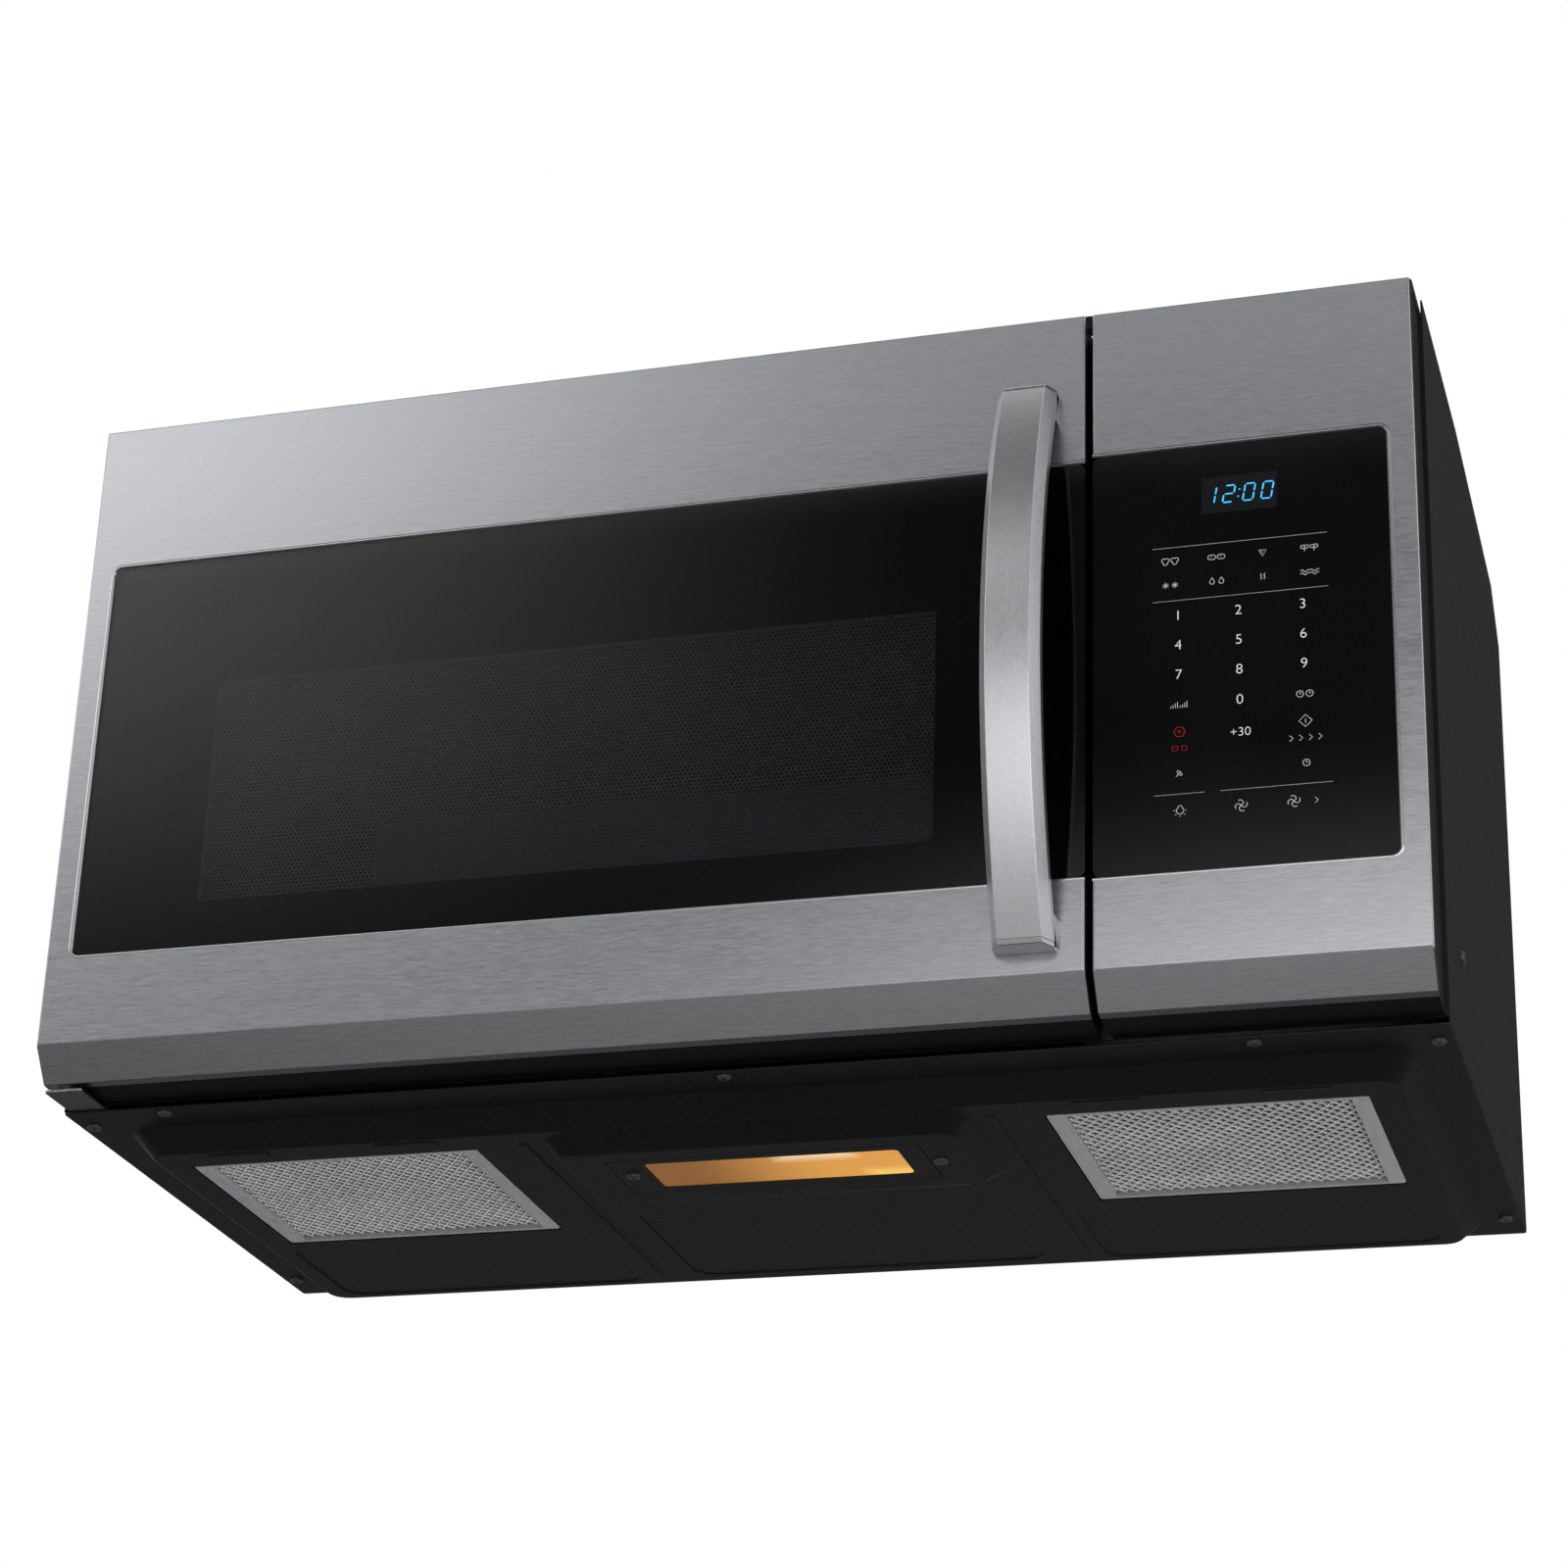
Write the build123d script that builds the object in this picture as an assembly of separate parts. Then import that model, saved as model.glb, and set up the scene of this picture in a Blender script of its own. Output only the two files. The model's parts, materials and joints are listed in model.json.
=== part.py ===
from build123d import *
import os
from math import asin, cos, degrees, pi, radians, sin, sqrt

# Over-the-range microwave with vent fan, cooktop lamp and grease filters.
# Millimetres. X runs right as seen from the front, the front faces -Y, Z is up.
# The origin is the centre of the back face, which hangs on the wall.
# Plan places are given as distances behind the steel front face ("depth") and
# heights above the rim of the base ("height"); back() and up() turn them into Y and Z.

# ---- overall sizes
CASE_W = 759.0            # 29 7/8 in
CASE_H = 417.5            # rim of the base to the top of the case, 16 7/16 in
DEPTH = 391.0             # wall to the steel front face, 15 3/8 in
FRONT_DEPTH = 44.0        # steel front face to the front edge of the case
FRONT_INSET = 1.5         # the front is this much narrower than the case, each side
FRONT_W = CASE_W - 2 * FRONT_INSET
SHEET = 1.0               # case panels
CLEAR = 0.3               # running gap between neighbours on different bodies

# ---- door and control panel
FACE_TOP = 406.2          # height of the top edge of door and panel
BEVEL_TOP = 25.2          # height where the flat face turns into the lower bevel
SKIN_BOTTOM = 6.2         # height of the lower steel edge
BEVEL_BACK = 14.0         # how far back the lower steel edge lies
FRAME_FOOT = 3.4          # height of the plastic frame's lower rear edge
PANEL_W = 172.2           # right edge of the front to the middle of the gap beside the door
SPLIT_X = FRONT_W / 2 - PANEL_W
SPLIT_GAP = 4.0
FRAME_BACK = 41.5         # rear face of door and panel frames
SKIN_T = 0.7
SKIN_RETURN = 6.0         # depth of the skin's folded edge
SKIN_EDGE_R = 1.2         # rolled edge of the skin
FRAME_WALL = 3.0
GLASS_FACE = 1.0          # glass lies this far behind the steel face
GLASS_T = 3.2
GLASS_GAP = 0.4           # gap round the glass
GLASS_R = 5.0
STEEL_LEFT = 14.4         # steel beside the door glass
DOOR_GLASS_LEFT = STEEL_LEFT - FRONT_W / 2
DOOR_GLASS_H = (75.8, 315.5)
STEEL_RIGHT = 14.3        # steel beside the keypad glass
PANEL_GLASS_RIGHT = FRONT_W / 2 - STEEL_RIGHT
PANEL_GLASS_H = (74.6, 318.2)
FRAME_WEB = 2.6           # plastic web behind the glass
WINDOW_IN = (70.0, 82.8)  # door edge and gap to the window
WINDOW_X = (WINDOW_IN[0] - FRONT_W / 2, SPLIT_X - WINDOW_IN[1])
WINDOW_H = (104.0, 254.5)
WINDOW_R = 6.0
SCREEN_DEPTH = 37.8       # perforated screen, behind the steel front face
SCREEN_T = 0.6

# ---- oven cavity
CAVITY_IN = (27.0, 38.3)  # case side and gap to the oven walls
CAVITY_X = (CAVITY_IN[0] - CASE_W / 2, SPLIT_X - CAVITY_IN[1])
CAVITY_H = (71.0, 318.0)
REAR_SPACE = 7.0
CAVITY_BACK = DEPTH - REAR_SPACE    # depth of the cavity's rear wall, inner face
CAVITY_R = 12.0
FRONT_FRAME_DEPTH = 45.2  # front frame of the cavity, inside the case edge
SHELF_H = 48.0

# ---- door hinge and latch
HINGE_IN = 10.0           # hinge axis from the door's left edge
HINGE_X = HINGE_IN - FRONT_W / 2
HINGE_DEPTH = 22.0
HINGE_PIN_R = 3.0
HINGE_PLATE_T = 1.3
HINGE_FIT = 0.05
PIN_REACH = 15.0          # how far a hinge pin stands in the door frame
LATCH_IN = 19.8           # latch bar from the gap
LATCH_X = SPLIT_X - LATCH_IN
LATCH_HEIGHTS = (118.0, 268.0)
LATCH_LIFT = 5.0
HOOK_T = 2.4
HOOK_REACH = 14.0         # hook length behind the door frame

# ---- handle
HANDLE_IN = 32.2          # handle from the gap
HANDLE_X = SPLIT_X - HANDLE_IN
HANDLE_MID = 197.0        # height of the middle of the bow
HANDLE_LENGTH = 322.0
HANDLE_STAND = 50.0       # face of the bar in front of the door at the middle
HANDLE_END = 14.0         # the same at the ends
HANDLE_T = 13.0
HANDLE_W = 32.0
HANDLE_FACE_W = 23.0
HANDLE_BEVEL = 7.5
HANDLE_CAP = 2.6
HANDLE_FOOT = 18.0        # length of the cap's foot on the door
HANDLE_SCREW_R = 2.4

# ---- base pan
PAN_T = 1.2
PAN_DROP = 12.0           # depth of the pressed platform below the rim
RIM_W = 22.5              # flat rim beside the platform
RIM_REAR = 11.0
PLATFORM_X = CASE_W / 2 - RIM_W        # half width at the rim
PLATFORM_D = (74.0, DEPTH - RIM_REAR)
PLATFORM_SLOPE_X = 10.0
PLATFORM_SLOPE_D = 13.0
PLATFORM_R = 16.0
BOSS_DROP = 8.0           # lamp boss below the platform
BOSS_X = 119.0
BOSS_D = (93.0, 204.0)
BOSS_SLOPE_X = 8.0
BOSS_SLOPE_D = 12.0
FILTER_X = 244.5          # centre of each grease filter opening
FILTER_D = 182.0
FILTER_W = 171.0
FILTER_L = 146.0
FILTER_T = 9.0
FILTER_SIDE = 9.5         # width of the filter frame's side strips
FILTER_END = 3.0
FILTER_GAP = 0.8
FILTER_TONGUE = 5.0       # rear tongue that hooks over the pan
TONGUE_T = 1.2
MESH_T = 2.4
LAMP_X = (-88.0, 88.0)
LAMP_D = (120.0, 174.0)
LENS_X = (-68.0, 75.0)
LENS_D = (126.5, 166.5)
LAMP_COVER_T = 1.6
LENS_T = 1.2
COVER_GAP = 0.4
LABEL_IN = (44.5, 29.0, 34.0)         # case side and wall to the label fields
LABEL_SIDE_X = (142.0, CASE_W / 2 - LABEL_IN[0])
LABEL_SIDE_D = (263.0, DEPTH - LABEL_IN[1])
LABEL_MID_X = 107.0
LABEL_MID_D = (226.0, DEPTH - LABEL_IN[2])
LABEL_STEP = 0.9
LABEL_R = 12.0
RIB_X = (195.0, 295.0)    # stiffening beads in front of each filter
RIB_D = 95.0
RIB_L = 36.0
RIB_W = 6.0
GROOVE_X = 131.0
GROOVE_W = 5.0
CORNER_IN = 8.5           # corner screws from the case side
CORNER_D = (66.0, DEPTH - 31.0)
FRONT_SCREW_IN = (57.5, 99.5)         # front screws from the left and right case sides
FRONT_SCREW_D = 52.0
RIM_SCREWS = ((FRONT_SCREW_IN[0] - CASE_W / 2, FRONT_SCREW_D), (0.0, FRONT_SCREW_D),
              (CASE_W / 2 - FRONT_SCREW_IN[1], FRONT_SCREW_D),
              *((side * (CASE_W / 2 - CORNER_IN), d) for side in (1, -1) for d in CORNER_D))
SCREW_R = 4.0
SHANK_R = 1.8
SHANK_FIT = 0.2
SCREW_HEAD_H = 1.8
DIMPLE_R = 7.0
DIMPLE_RISE = 0.5

# ---- turntable
TABLE_X = (CAVITY_X[0] + CAVITY_X[1]) / 2
TABLE_DEPTH = 214.0
TRAY_R = 158.0
TRAY_T = 5.0
TRAY_RIM = 8.0
ROLLER_R = 8.0
ROLLER_W = 8.0
ROLLER_CIRCLE = 105.0
RING_R = 92.0
RING_T = 6.0
AXLE_R = 2.0
AXLE_FIT = 0.06
COUPLER_R = 7.0
COUPLER_ARM = 22.0
STEM_R = 3.5

# ---- vent blower
BLOWER_X = -70.0
BLOWER_FROM_WALL = 49.0
BLOWER_DEPTH = DEPTH - BLOWER_FROM_WALL
BLOWER_FROM_TOP = 50.0
BLOWER_H = CASE_H - BLOWER_FROM_TOP
WHEEL_R = 37.0
WHEEL_W = 84.0
BLADE_COUNT = 24
SCROLL_R = 44.0
SCROLL_WALL = 1.6
SCROLL_GAP = 5.0
MOTOR_R = 34.0
MOTOR_L = 70.0
SHAFT_R = 4.0
EXHAUST_W = 254.0         # 10 in
EXHAUST_D = 82.6          # 3 1/4 in

# ---- cooling fan
BAY_IN = 79.5             # middle of the right bay's fan and cord from the case side
FAN_X = CASE_W / 2 - BAY_IN
FAN_H = 150.0
FAN_R = 50.0
FAN_FROM_WALL = 39.0
FAN_SHROUD_DEPTH = DEPTH - FAN_FROM_WALL
FAN_PLATE = 62.0          # half size of the shroud's plate
FAN_BLADES = 5

# ---- top grille and mounting
GRILLE_D = (20.0, 61.6)
GRILLE_H = (CASE_H - 8.3, CASE_H)
SLOT_COUNT = 12
TOP_BOLT_X = 285.0
TOP_BOLT_DEPTH = 110.0
BOLT_R = 3.25             # 1/4 in machine screw, clearance
HANG_SLOT_X = 190.0
HANG_SLOT_W = 60.0
HANG_SLOT_TALL = 10.0
HANG_SLOT_H = 40.0
STEP_IN = 2.2             # the rear panel's edges lie this far in, clear of the wall
STEP_H = (24.0, CASE_H - 26.5)
REAR_SCREW_IN = 49.5      # outer rear screws from the case side
REAR_SCREW_X = CASE_W / 2 - REAR_SCREW_IN
REAR_SCREW_H = (14.0, CASE_H - 15.5)
REAR_SCREWS = tuple((x, h) for x in (-REAR_SCREW_X, 0.0, REAR_SCREW_X) for h in REAR_SCREW_H)
PANEL_RIB_H = (110.0, 290.0)
PANEL_RIB_X = 250.0
PANEL_RIB_L = 180.0
PANEL_RIB_W = 16.0
PANEL_RIB_IN = 2.0
CORD_X = CASE_W / 2 - BAY_IN
CORD_FROM_WALL = 61.0
CORD_DEPTH = DEPTH - CORD_FROM_WALL
CORD_HOLE_R = 11.0
KNOCKOUT_R = 22.0
KNOCKOUT_FROM_WALL = 24.0
KNOCKOUT_DEPTH = DEPTH - KNOCKOUT_FROM_WALL
KNOCKOUT_H = 26.0


def up(height):
    """Z of a height above the rim of the base."""
    return height - CASE_H / 2


def back(depth):
    """Y of a depth behind the steel front face."""
    return depth - DEPTH


def middle(pair):
    return (pair[0] + pair[1]) / 2


def span(pair):
    return pair[1] - pair[0]


def slab(x, depth, height):
    """Box over a range of X, depth and height."""
    place = Pos(middle(x), back(middle(depth)), up(middle(height)))
    return place * Box(span(x), span(depth), span(height))


def front_plate(x, height, depth, radius):
    """Upright plate parallel to the front, with rounded corners."""
    plane = Plane(origin=(middle(x), back(depth[0]), up(middle(height))), x_dir=(1, 0, 0), z_dir=(0, 1, 0))
    return extrude(plane * RectangleRounded(span(x), span(height), radius), span(depth))


def floor_plate(x, depth, height, radius):
    """Level plate with rounded corners."""
    plane = Plane(origin=(middle(x), back(middle(depth)), up(height[0])))
    return extrude(plane * RectangleRounded(span(x), span(depth), radius), span(height))


def profile_along_x(points, x):
    """Prism along X from (depth, height) corners."""
    corners = [(back(d), up(h)) for d, h in points]
    face = make_face(Plane.YZ.offset(x[0]) * Polyline(*corners, close=True))
    return extrude(face, span(x), dir=(1, 0, 0))


def rod(start, direction, radius, length):
    """Round bar from a start point along a direction."""
    return extrude(Plane(origin=start, z_dir=direction) * Circle(radius), length)


def tube(start, direction, outer, inner, length):
    """Round tube from a start point along a direction."""
    ring = Plane(origin=start, z_dir=direction) * (Circle(outer) - Circle(inner))
    return extrude(ring, length)


def tapered(x, depth, top, drop, slope_x, slope_d, radius):
    """Pressed form that narrows downwards from a rounded rectangle."""
    upper = Plane(origin=(middle(x), back(middle(depth)), up(top)))
    lower = upper.offset(-drop)
    return loft([upper * RectangleRounded(span(x), span(depth), radius),
                 lower * RectangleRounded(span(x) - 2 * slope_x, span(depth) - 2 * slope_d, radius - 4)],
                ruled=True)


def prism(start, direction, radius, length, sides):
    """Many-sided bar for small fasteners and their holes, which saves faces."""
    return extrude(Plane(origin=start, z_dir=direction) * RegularPolygon(radius, sides), length)


def screw(start, direction, shank=4.0):
    """Screw whose head seats on start; the shank runs against the direction."""
    away = tuple(-c for c in direction)
    return prism(start, direction, SCREW_R, SCREW_HEAD_H, 10) + prism(start, away, SHANK_R, shank, 6)


def screw_hole(start, direction, length):
    """Clearance hole for a screw's shank."""
    return prism(start, direction, SHANK_R + SHANK_FIT, length, 6)


# ------------------------------------------------------------ door and control panel shells

def front_form(x, inset=0.0, rear=FRAME_BACK):
    """Solid outline of a door or panel: flat face, lower bevel, flat top."""
    drop = BEVEL_TOP - SKIN_BOTTOM
    slope = sqrt(drop ** 2 + BEVEL_BACK ** 2)
    points = [(inset, BEVEL_TOP + inset * (slope - drop) / BEVEL_BACK), (inset, FACE_TOP - inset),
              (rear, FACE_TOP - inset), (rear, FRAME_FOOT + inset),
              (BEVEL_BACK + inset * (slope - BEVEL_BACK) / drop, SKIN_BOTTOM + inset)]
    return profile_along_x(points, (x[0] + inset, x[1] - inset))


def front_skin(x, opening_x, opening_h):
    """Folded stainless skin with its glass opening and folded edges."""
    outer = front_form(x)
    face_edges = outer.faces().sort_by(Axis.Y)[0].edges()
    outer = fillet(face_edges.filter_by(Axis.Z) + face_edges.filter_by(Axis.X).sort_by(Axis.Z)[-1:],
                   SKIN_EDGE_R)
    band = profile_along_x([(-1, BEVEL_TOP), (-1, FACE_TOP + 1), (SKIN_RETURN, FACE_TOP + 1),
                            (SKIN_RETURN, BEVEL_TOP), (BEVEL_BACK + SKIN_RETURN, SKIN_BOTTOM - 1),
                            (BEVEL_BACK - 1, SKIN_BOTTOM - 1)], (x[0] - 1, x[1] + 1))
    shell = (outer - front_form(x, SKIN_T, FRAME_BACK + 5)) & band
    return shell - front_plate(opening_x, opening_h, (-5, SKIN_RETURN + 20), GLASS_R)


def front_glass(x, height):
    """Tempered glass pane."""
    return front_plate(x, height, (GLASS_FACE, GLASS_FACE + GLASS_T), GLASS_R - GLASS_GAP)


def front_frame(x, glass_x, glass_h):
    """Plastic frame behind a skin: perimeter wall, web behind the glass, open at the rear."""
    body = front_form(x, SKIN_T + 0.1)
    seat = GLASS_FACE + GLASS_T + 0.1
    body -= front_plate(glass_x, glass_h, (-1, seat), GLASS_R)
    pocket_x = (x[0] + SKIN_T + FRAME_WALL, x[1] - SKIN_T - FRAME_WALL)
    pocket = profile_along_x([(seat + FRAME_WEB, BEVEL_TOP + 4),
                              (seat + FRAME_WEB, FACE_TOP - SKIN_T - FRAME_WALL),
                              (FRAME_BACK + 1, FACE_TOP - SKIN_T - FRAME_WALL), (FRAME_BACK + 1,
                                                                                 FRAME_FOOT + 5),
                              (BEVEL_BACK + 6, SKIN_BOTTOM + 5)], pocket_x)
    return body - pocket


def door_skin():
    """Door skin with its clearance holes for the handle screws and hinge pins."""
    skin = front_skin(DOOR_X, DOOR_GLASS_X, DOOR_GLASS_H)
    for height in HANDLE_SCREW_H:
        skin -= prism((HANDLE_X, back(-1), up(height)), (0, 1, 0), HANDLE_SCREW_R + 0.3, 5, 8)
    return skin - rod((HINGE_X, back(HINGE_DEPTH), up(0)), (0, 0, 1), HINGE_PIN_R + 1, CASE_H)


DOOR_X = (-FRONT_W / 2, SPLIT_X - SPLIT_GAP / 2)
PANEL_X = (SPLIT_X + SPLIT_GAP / 2, FRONT_W / 2)
PAST = 30.0               # cutters run this far past an open edge
DOOR_GLASS_X = (DOOR_GLASS_LEFT, DOOR_X[1] + PAST)
PANEL_GLASS_X = (PANEL_X[0] - PAST, PANEL_GLASS_RIGHT)


def door_frame():
    frame = front_frame(DOOR_X, DOOR_GLASS_X, DOOR_GLASS_H)
    wall = FRAME_WALL - 0.6
    seat = GLASS_FACE + GLASS_T + 0.1
    around_x = (WINDOW_X[0] - wall, WINDOW_X[1] + wall)
    around_h = (WINDOW_H[0] - wall, WINDOW_H[1] + wall)
    frame += front_plate(around_x, around_h, (seat, SCREEN_DEPTH - 0.2), WINDOW_R + wall)
    frame -= front_plate(WINDOW_X, WINDOW_H, (seat - 1, FRAME_BACK + 1), WINDOW_R)
    corner = frame.edges().filter_by(Axis.Z).filter_by(lambda e: e.center().X < DOOR_X[0] + 2 and e.center().Y > back(30))
    frame = fillet(corner, 2.4)
    bore = HINGE_PIN_R + HINGE_FIT
    boss_x = (DOOR_X[0] + SKIN_T + 1, HINGE_X + 8)
    boss_d = (HINGE_DEPTH - 9, HINGE_DEPTH + 9)
    frame += slab(boss_x, boss_d, (SKIN_BOTTOM + 3, PIN_REACH + 12))
    frame += slab(boss_x, boss_d, (FACE_TOP - PIN_REACH - 12, FACE_TOP - 2))
    pin_start = (HINGE_X, back(HINGE_DEPTH), up(0))
    frame -= rod(pin_start, (0, 0, 1), bore, PIN_REACH + 5)
    frame -= rod((HINGE_X, back(HINGE_DEPTH), up(FACE_TOP + 5)), (0, 0, -1), bore, PIN_REACH + 7)
    for height in HANDLE_SCREW_H:
        frame -= prism((HANDLE_X, back(-1), up(height)), (0, 1, 0), HANDLE_SCREW_R + 0.3, 12, 8)
    return frame


# ------------------------------------------------------------ handle

BOW_SAG = HANDLE_STAND - HANDLE_END
BOW_R = (HANDLE_LENGTH ** 2 / 4 + BOW_SAG ** 2) / (2 * BOW_SAG)
BOW_CENTRE = BOW_R - HANDLE_STAND                 # depth of the bow's axis behind the face
HANDLE_H = (HANDLE_MID - HANDLE_LENGTH / 2, HANDLE_MID + HANDLE_LENGTH / 2)
HANDLE_SCREW_H = (HANDLE_H[0] + HANDLE_FOOT / 2 + 1, HANDLE_H[1] - HANDLE_FOOT / 2 - 1)
HANDLE_HALF_X = (HANDLE_X - HANDLE_W / 2, HANDLE_X + HANDLE_W / 2)


def handle_form():
    """Bowed bar of bevelled section, as a slice of a ring about a level axis."""
    inner = BOW_R - HANDLE_T
    section = [(-HANDLE_W / 2, -inner), (-HANDLE_W / 2, -(BOW_R - HANDLE_BEVEL)), (-HANDLE_FACE_W / 2, -BOW_R),
               (HANDLE_FACE_W / 2, -BOW_R), (HANDLE_W / 2, -(BOW_R - HANDLE_BEVEL)), (HANDLE_W / 2, -inner)]
    plane = Plane(origin=(HANDLE_X, back(BOW_CENTRE), up(HANDLE_MID)))
    face = plane * make_face(Polyline(*section, close=True))
    axis = Axis((HANDLE_X, back(BOW_CENTRE), up(HANDLE_MID)), (1, 0, 0))
    half = degrees(asin(HANDLE_LENGTH / 2 / (BOW_R - HANDLE_T))) + 3
    bar = revolve(face.rotate(axis, -half), axis, 2 * half)
    keep = slab((HANDLE_X - HANDLE_W, HANDLE_X + HANDLE_W), (-HANDLE_STAND - 5, -0.05), HANDLE_H)
    return bar & keep


def handle_foot(low, high):
    """Foot of an end cap: fills the wedge between the bar and the door."""
    inner = BOW_R - HANDLE_T
    block = slab(HANDLE_HALF_X, (-HANDLE_STAND, -0.05), (low, high))
    hollow = rod((HANDLE_X - HANDLE_W, back(BOW_CENTRE), up(HANDLE_MID)), (1, 0, 0), inner, 2 * HANDLE_W)
    return block & hollow


def handle():
    form = handle_form()
    low, high = HANDLE_H
    x = (HANDLE_X - HANDLE_W, HANDLE_X + HANDLE_W)
    d = (-HANDLE_STAND - 5, 0)
    bar = form & slab(x, d, (low + HANDLE_CAP, high - HANDLE_CAP))
    bottom = (form & slab(x, d, (low, low + HANDLE_CAP))) + handle_foot(low, low + HANDLE_FOOT)
    top = (form & slab(x, d, (high - HANDLE_CAP, high))) + handle_foot(high - HANDLE_FOOT, high)
    caps = []
    for cap, height in ((bottom, HANDLE_SCREW_H[0]), (top, HANDLE_SCREW_H[1])):
        hole = prism((HANDLE_X, back(1), up(height)), (0, -1, 0), HANDLE_SCREW_R, 13, 8)
        caps.append(cap - hole)
        bar -= hole
    screws = []
    for height in HANDLE_SCREW_H:
        seat = GLASS_FACE + GLASS_T + 0.1 + FRAME_WEB
        shank = prism((HANDLE_X, back(seat), up(height)), (0, -1, 0), HANDLE_SCREW_R, seat + 11, 8)
        head = prism((HANDLE_X, back(seat), up(height)), (0, 1, 0), SCREW_R, SCREW_HEAD_H, 10)
        screws.append(shank + head)
    return bar, caps, screws


# ------------------------------------------------------------ door inside

CHOKE_IN = (8.0, 9.8)     # door edge and gap to the choke pan
CHOKE_X = (CHOKE_IN[0] - FRONT_W / 2, SPLIT_X - CHOKE_IN[1])
CHOKE_H = (46.0, 342.0)
CHOKE_FLOOR = 16.0
CHOKE_CHANNEL = 20.0
CHOKE_REAR = 39.4
LATCH_BAR_DEPTH = 32.0
LATCH_TAIL = 24.0
SPRING_FOOT = 62.0
SPRING_R = 3.0
HOOK_HALF = 8.0


def door_choke():
    """Inner steel panel: a channel round the edge and a raised middle that carries the screen."""
    t = SHEET
    outer = front_plate(CHOKE_X, CHOKE_H, (CHOKE_FLOOR, CHOKE_REAR), 6)
    hollow = front_plate((CHOKE_X[0] + t, CHOKE_X[1] - t), (CHOKE_H[0] + t, CHOKE_H[1] - t),
                         (CHOKE_FLOOR + t, CHOKE_REAR + 1), 5)
    inner_x = (CHOKE_X[0] + CHOKE_CHANNEL, CHOKE_X[1] - CHOKE_CHANNEL)
    inner_h = (CHOKE_H[0] + CHOKE_CHANNEL, CHOKE_H[1] - CHOKE_CHANNEL)
    middle_block = front_plate(inner_x, inner_h, (CHOKE_FLOOR, CHOKE_REAR), 6)
    under = front_plate((inner_x[0] + t, inner_x[1] - t), (inner_h[0] + t, inner_h[1] - t),
                        (CHOKE_FLOOR - 1, CHOKE_REAR - t), 5)
    window = front_plate(WINDOW_X, WINDOW_H, (CHOKE_FLOOR - 1, CHOKE_REAR + 1), WINDOW_R)
    return outer - hollow + middle_block - under - window


def door_screen():
    edge = 6.0
    return front_plate((WINDOW_X[0] - edge, WINDOW_X[1] + edge), (WINDOW_H[0] - edge, WINDOW_H[1] + edge),
                       (SCREEN_DEPTH, SCREEN_DEPTH + SCREEN_T), 4)


def door_inner_cover():
    """Plastic ring that closes the choke channel on the oven side."""
    face = (CHOKE_REAR + 0.1, CHOKE_REAR + 2.0)
    rim = 2.0
    lip_x = (WINDOW_X[0] - 22, WINDOW_X[1] + 32)
    lip_h = (WINDOW_H[0] - 18, WINDOW_H[1] + 46)
    ring = front_plate((CHOKE_X[0] - rim, CHOKE_X[1] + rim), (CHOKE_H[0] - rim, CHOKE_H[1] + rim), face, 8)
    ring -= front_plate(lip_x, lip_h, (face[0] - 1, face[1] + 1), 8)
    hatch = [slab((x, x + 10), (CHOKE_FLOOR + 6, face[0]), (CHOKE_H[0] + 3, CHOKE_H[0] + 5))
             for x in (-320, -160, 0, 140)]
    for clip in hatch:
        ring += clip
    for height in LATCH_HEIGHTS:
        ring -= slab((LATCH_X - HOOK_T / 2 - CLEAR, LATCH_X + HOOK_T / 2 + CLEAR), (face[0] - 1, face[1] + 1),
                     (height - HOOK_HALF - CLEAR, height + HOOK_HALF + LATCH_LIFT + 1))
    ring += slab((LATCH_X - 5, LATCH_X + 5), (LATCH_BAR_DEPTH - 2, face[0]), (SPRING_FOOT - 3, SPRING_FOOT))
    return ring


def latch():
    """Upper and lower hooks on one upright bar that slides in the door."""
    bar = slab((LATCH_X - 4, LATCH_X + 4), (LATCH_BAR_DEPTH - 1.5, LATCH_BAR_DEPTH + 1.5),
               (LATCH_HEIGHTS[0] - LATCH_TAIL, LATCH_HEIGHTS[1] + LATCH_TAIL))
    bar = fillet(bar.edges().filter_by(Axis.Y), 2)
    for height in LATCH_HEIGHTS:
        tip = FRAME_BACK + HOOK_REACH
        outline = [(LATCH_BAR_DEPTH, height - HOOK_HALF), (tip - 5, height - HOOK_HALF),
                   (tip - 5, height - HOOK_HALF - 3), (tip - 2, height - HOOK_HALF - 3), (tip, height - 6),
                   (tip - 4, height + 2), (FRAME_BACK + 2, height + 6), (LATCH_BAR_DEPTH, height + HOOK_HALF)]
        bar += profile_along_x(outline, (LATCH_X - HOOK_T / 2, LATCH_X + HOOK_T / 2))
    return bar


def latch_spring():
    """Spring that pulls the latch bar down, from its lug to the bar's lower end."""
    low = SPRING_FOOT
    high = LATCH_HEIGHTS[0] - LATCH_TAIL
    start = (LATCH_X, back(LATCH_BAR_DEPTH), up(low))
    return tube(start, (0, 0, 1), SPRING_R, SPRING_R - 0.9, high - low)


# ------------------------------------------------------------ control panel inside

CLOCK_IN = (112.4, 72.0)  # clock window from the front's right edge
CLOCK_X = (FRONT_W / 2 - CLOCK_IN[0], FRONT_W / 2 - CLOCK_IN[1])
CLOCK_H = (276.8, 299.0)
BOARD_IN = (30.2, 26.0)   # board from the gap and from the front's right edge
BOARD_X = (SPLIT_X + BOARD_IN[0], FRONT_W / 2 - BOARD_IN[1])
BOARD_H = (96.0, 262.0)
BOARD_DEPTH = 22.0
PANEL_WEB_REAR = GLASS_FACE + GLASS_T + 0.1 + FRAME_WEB


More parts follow.
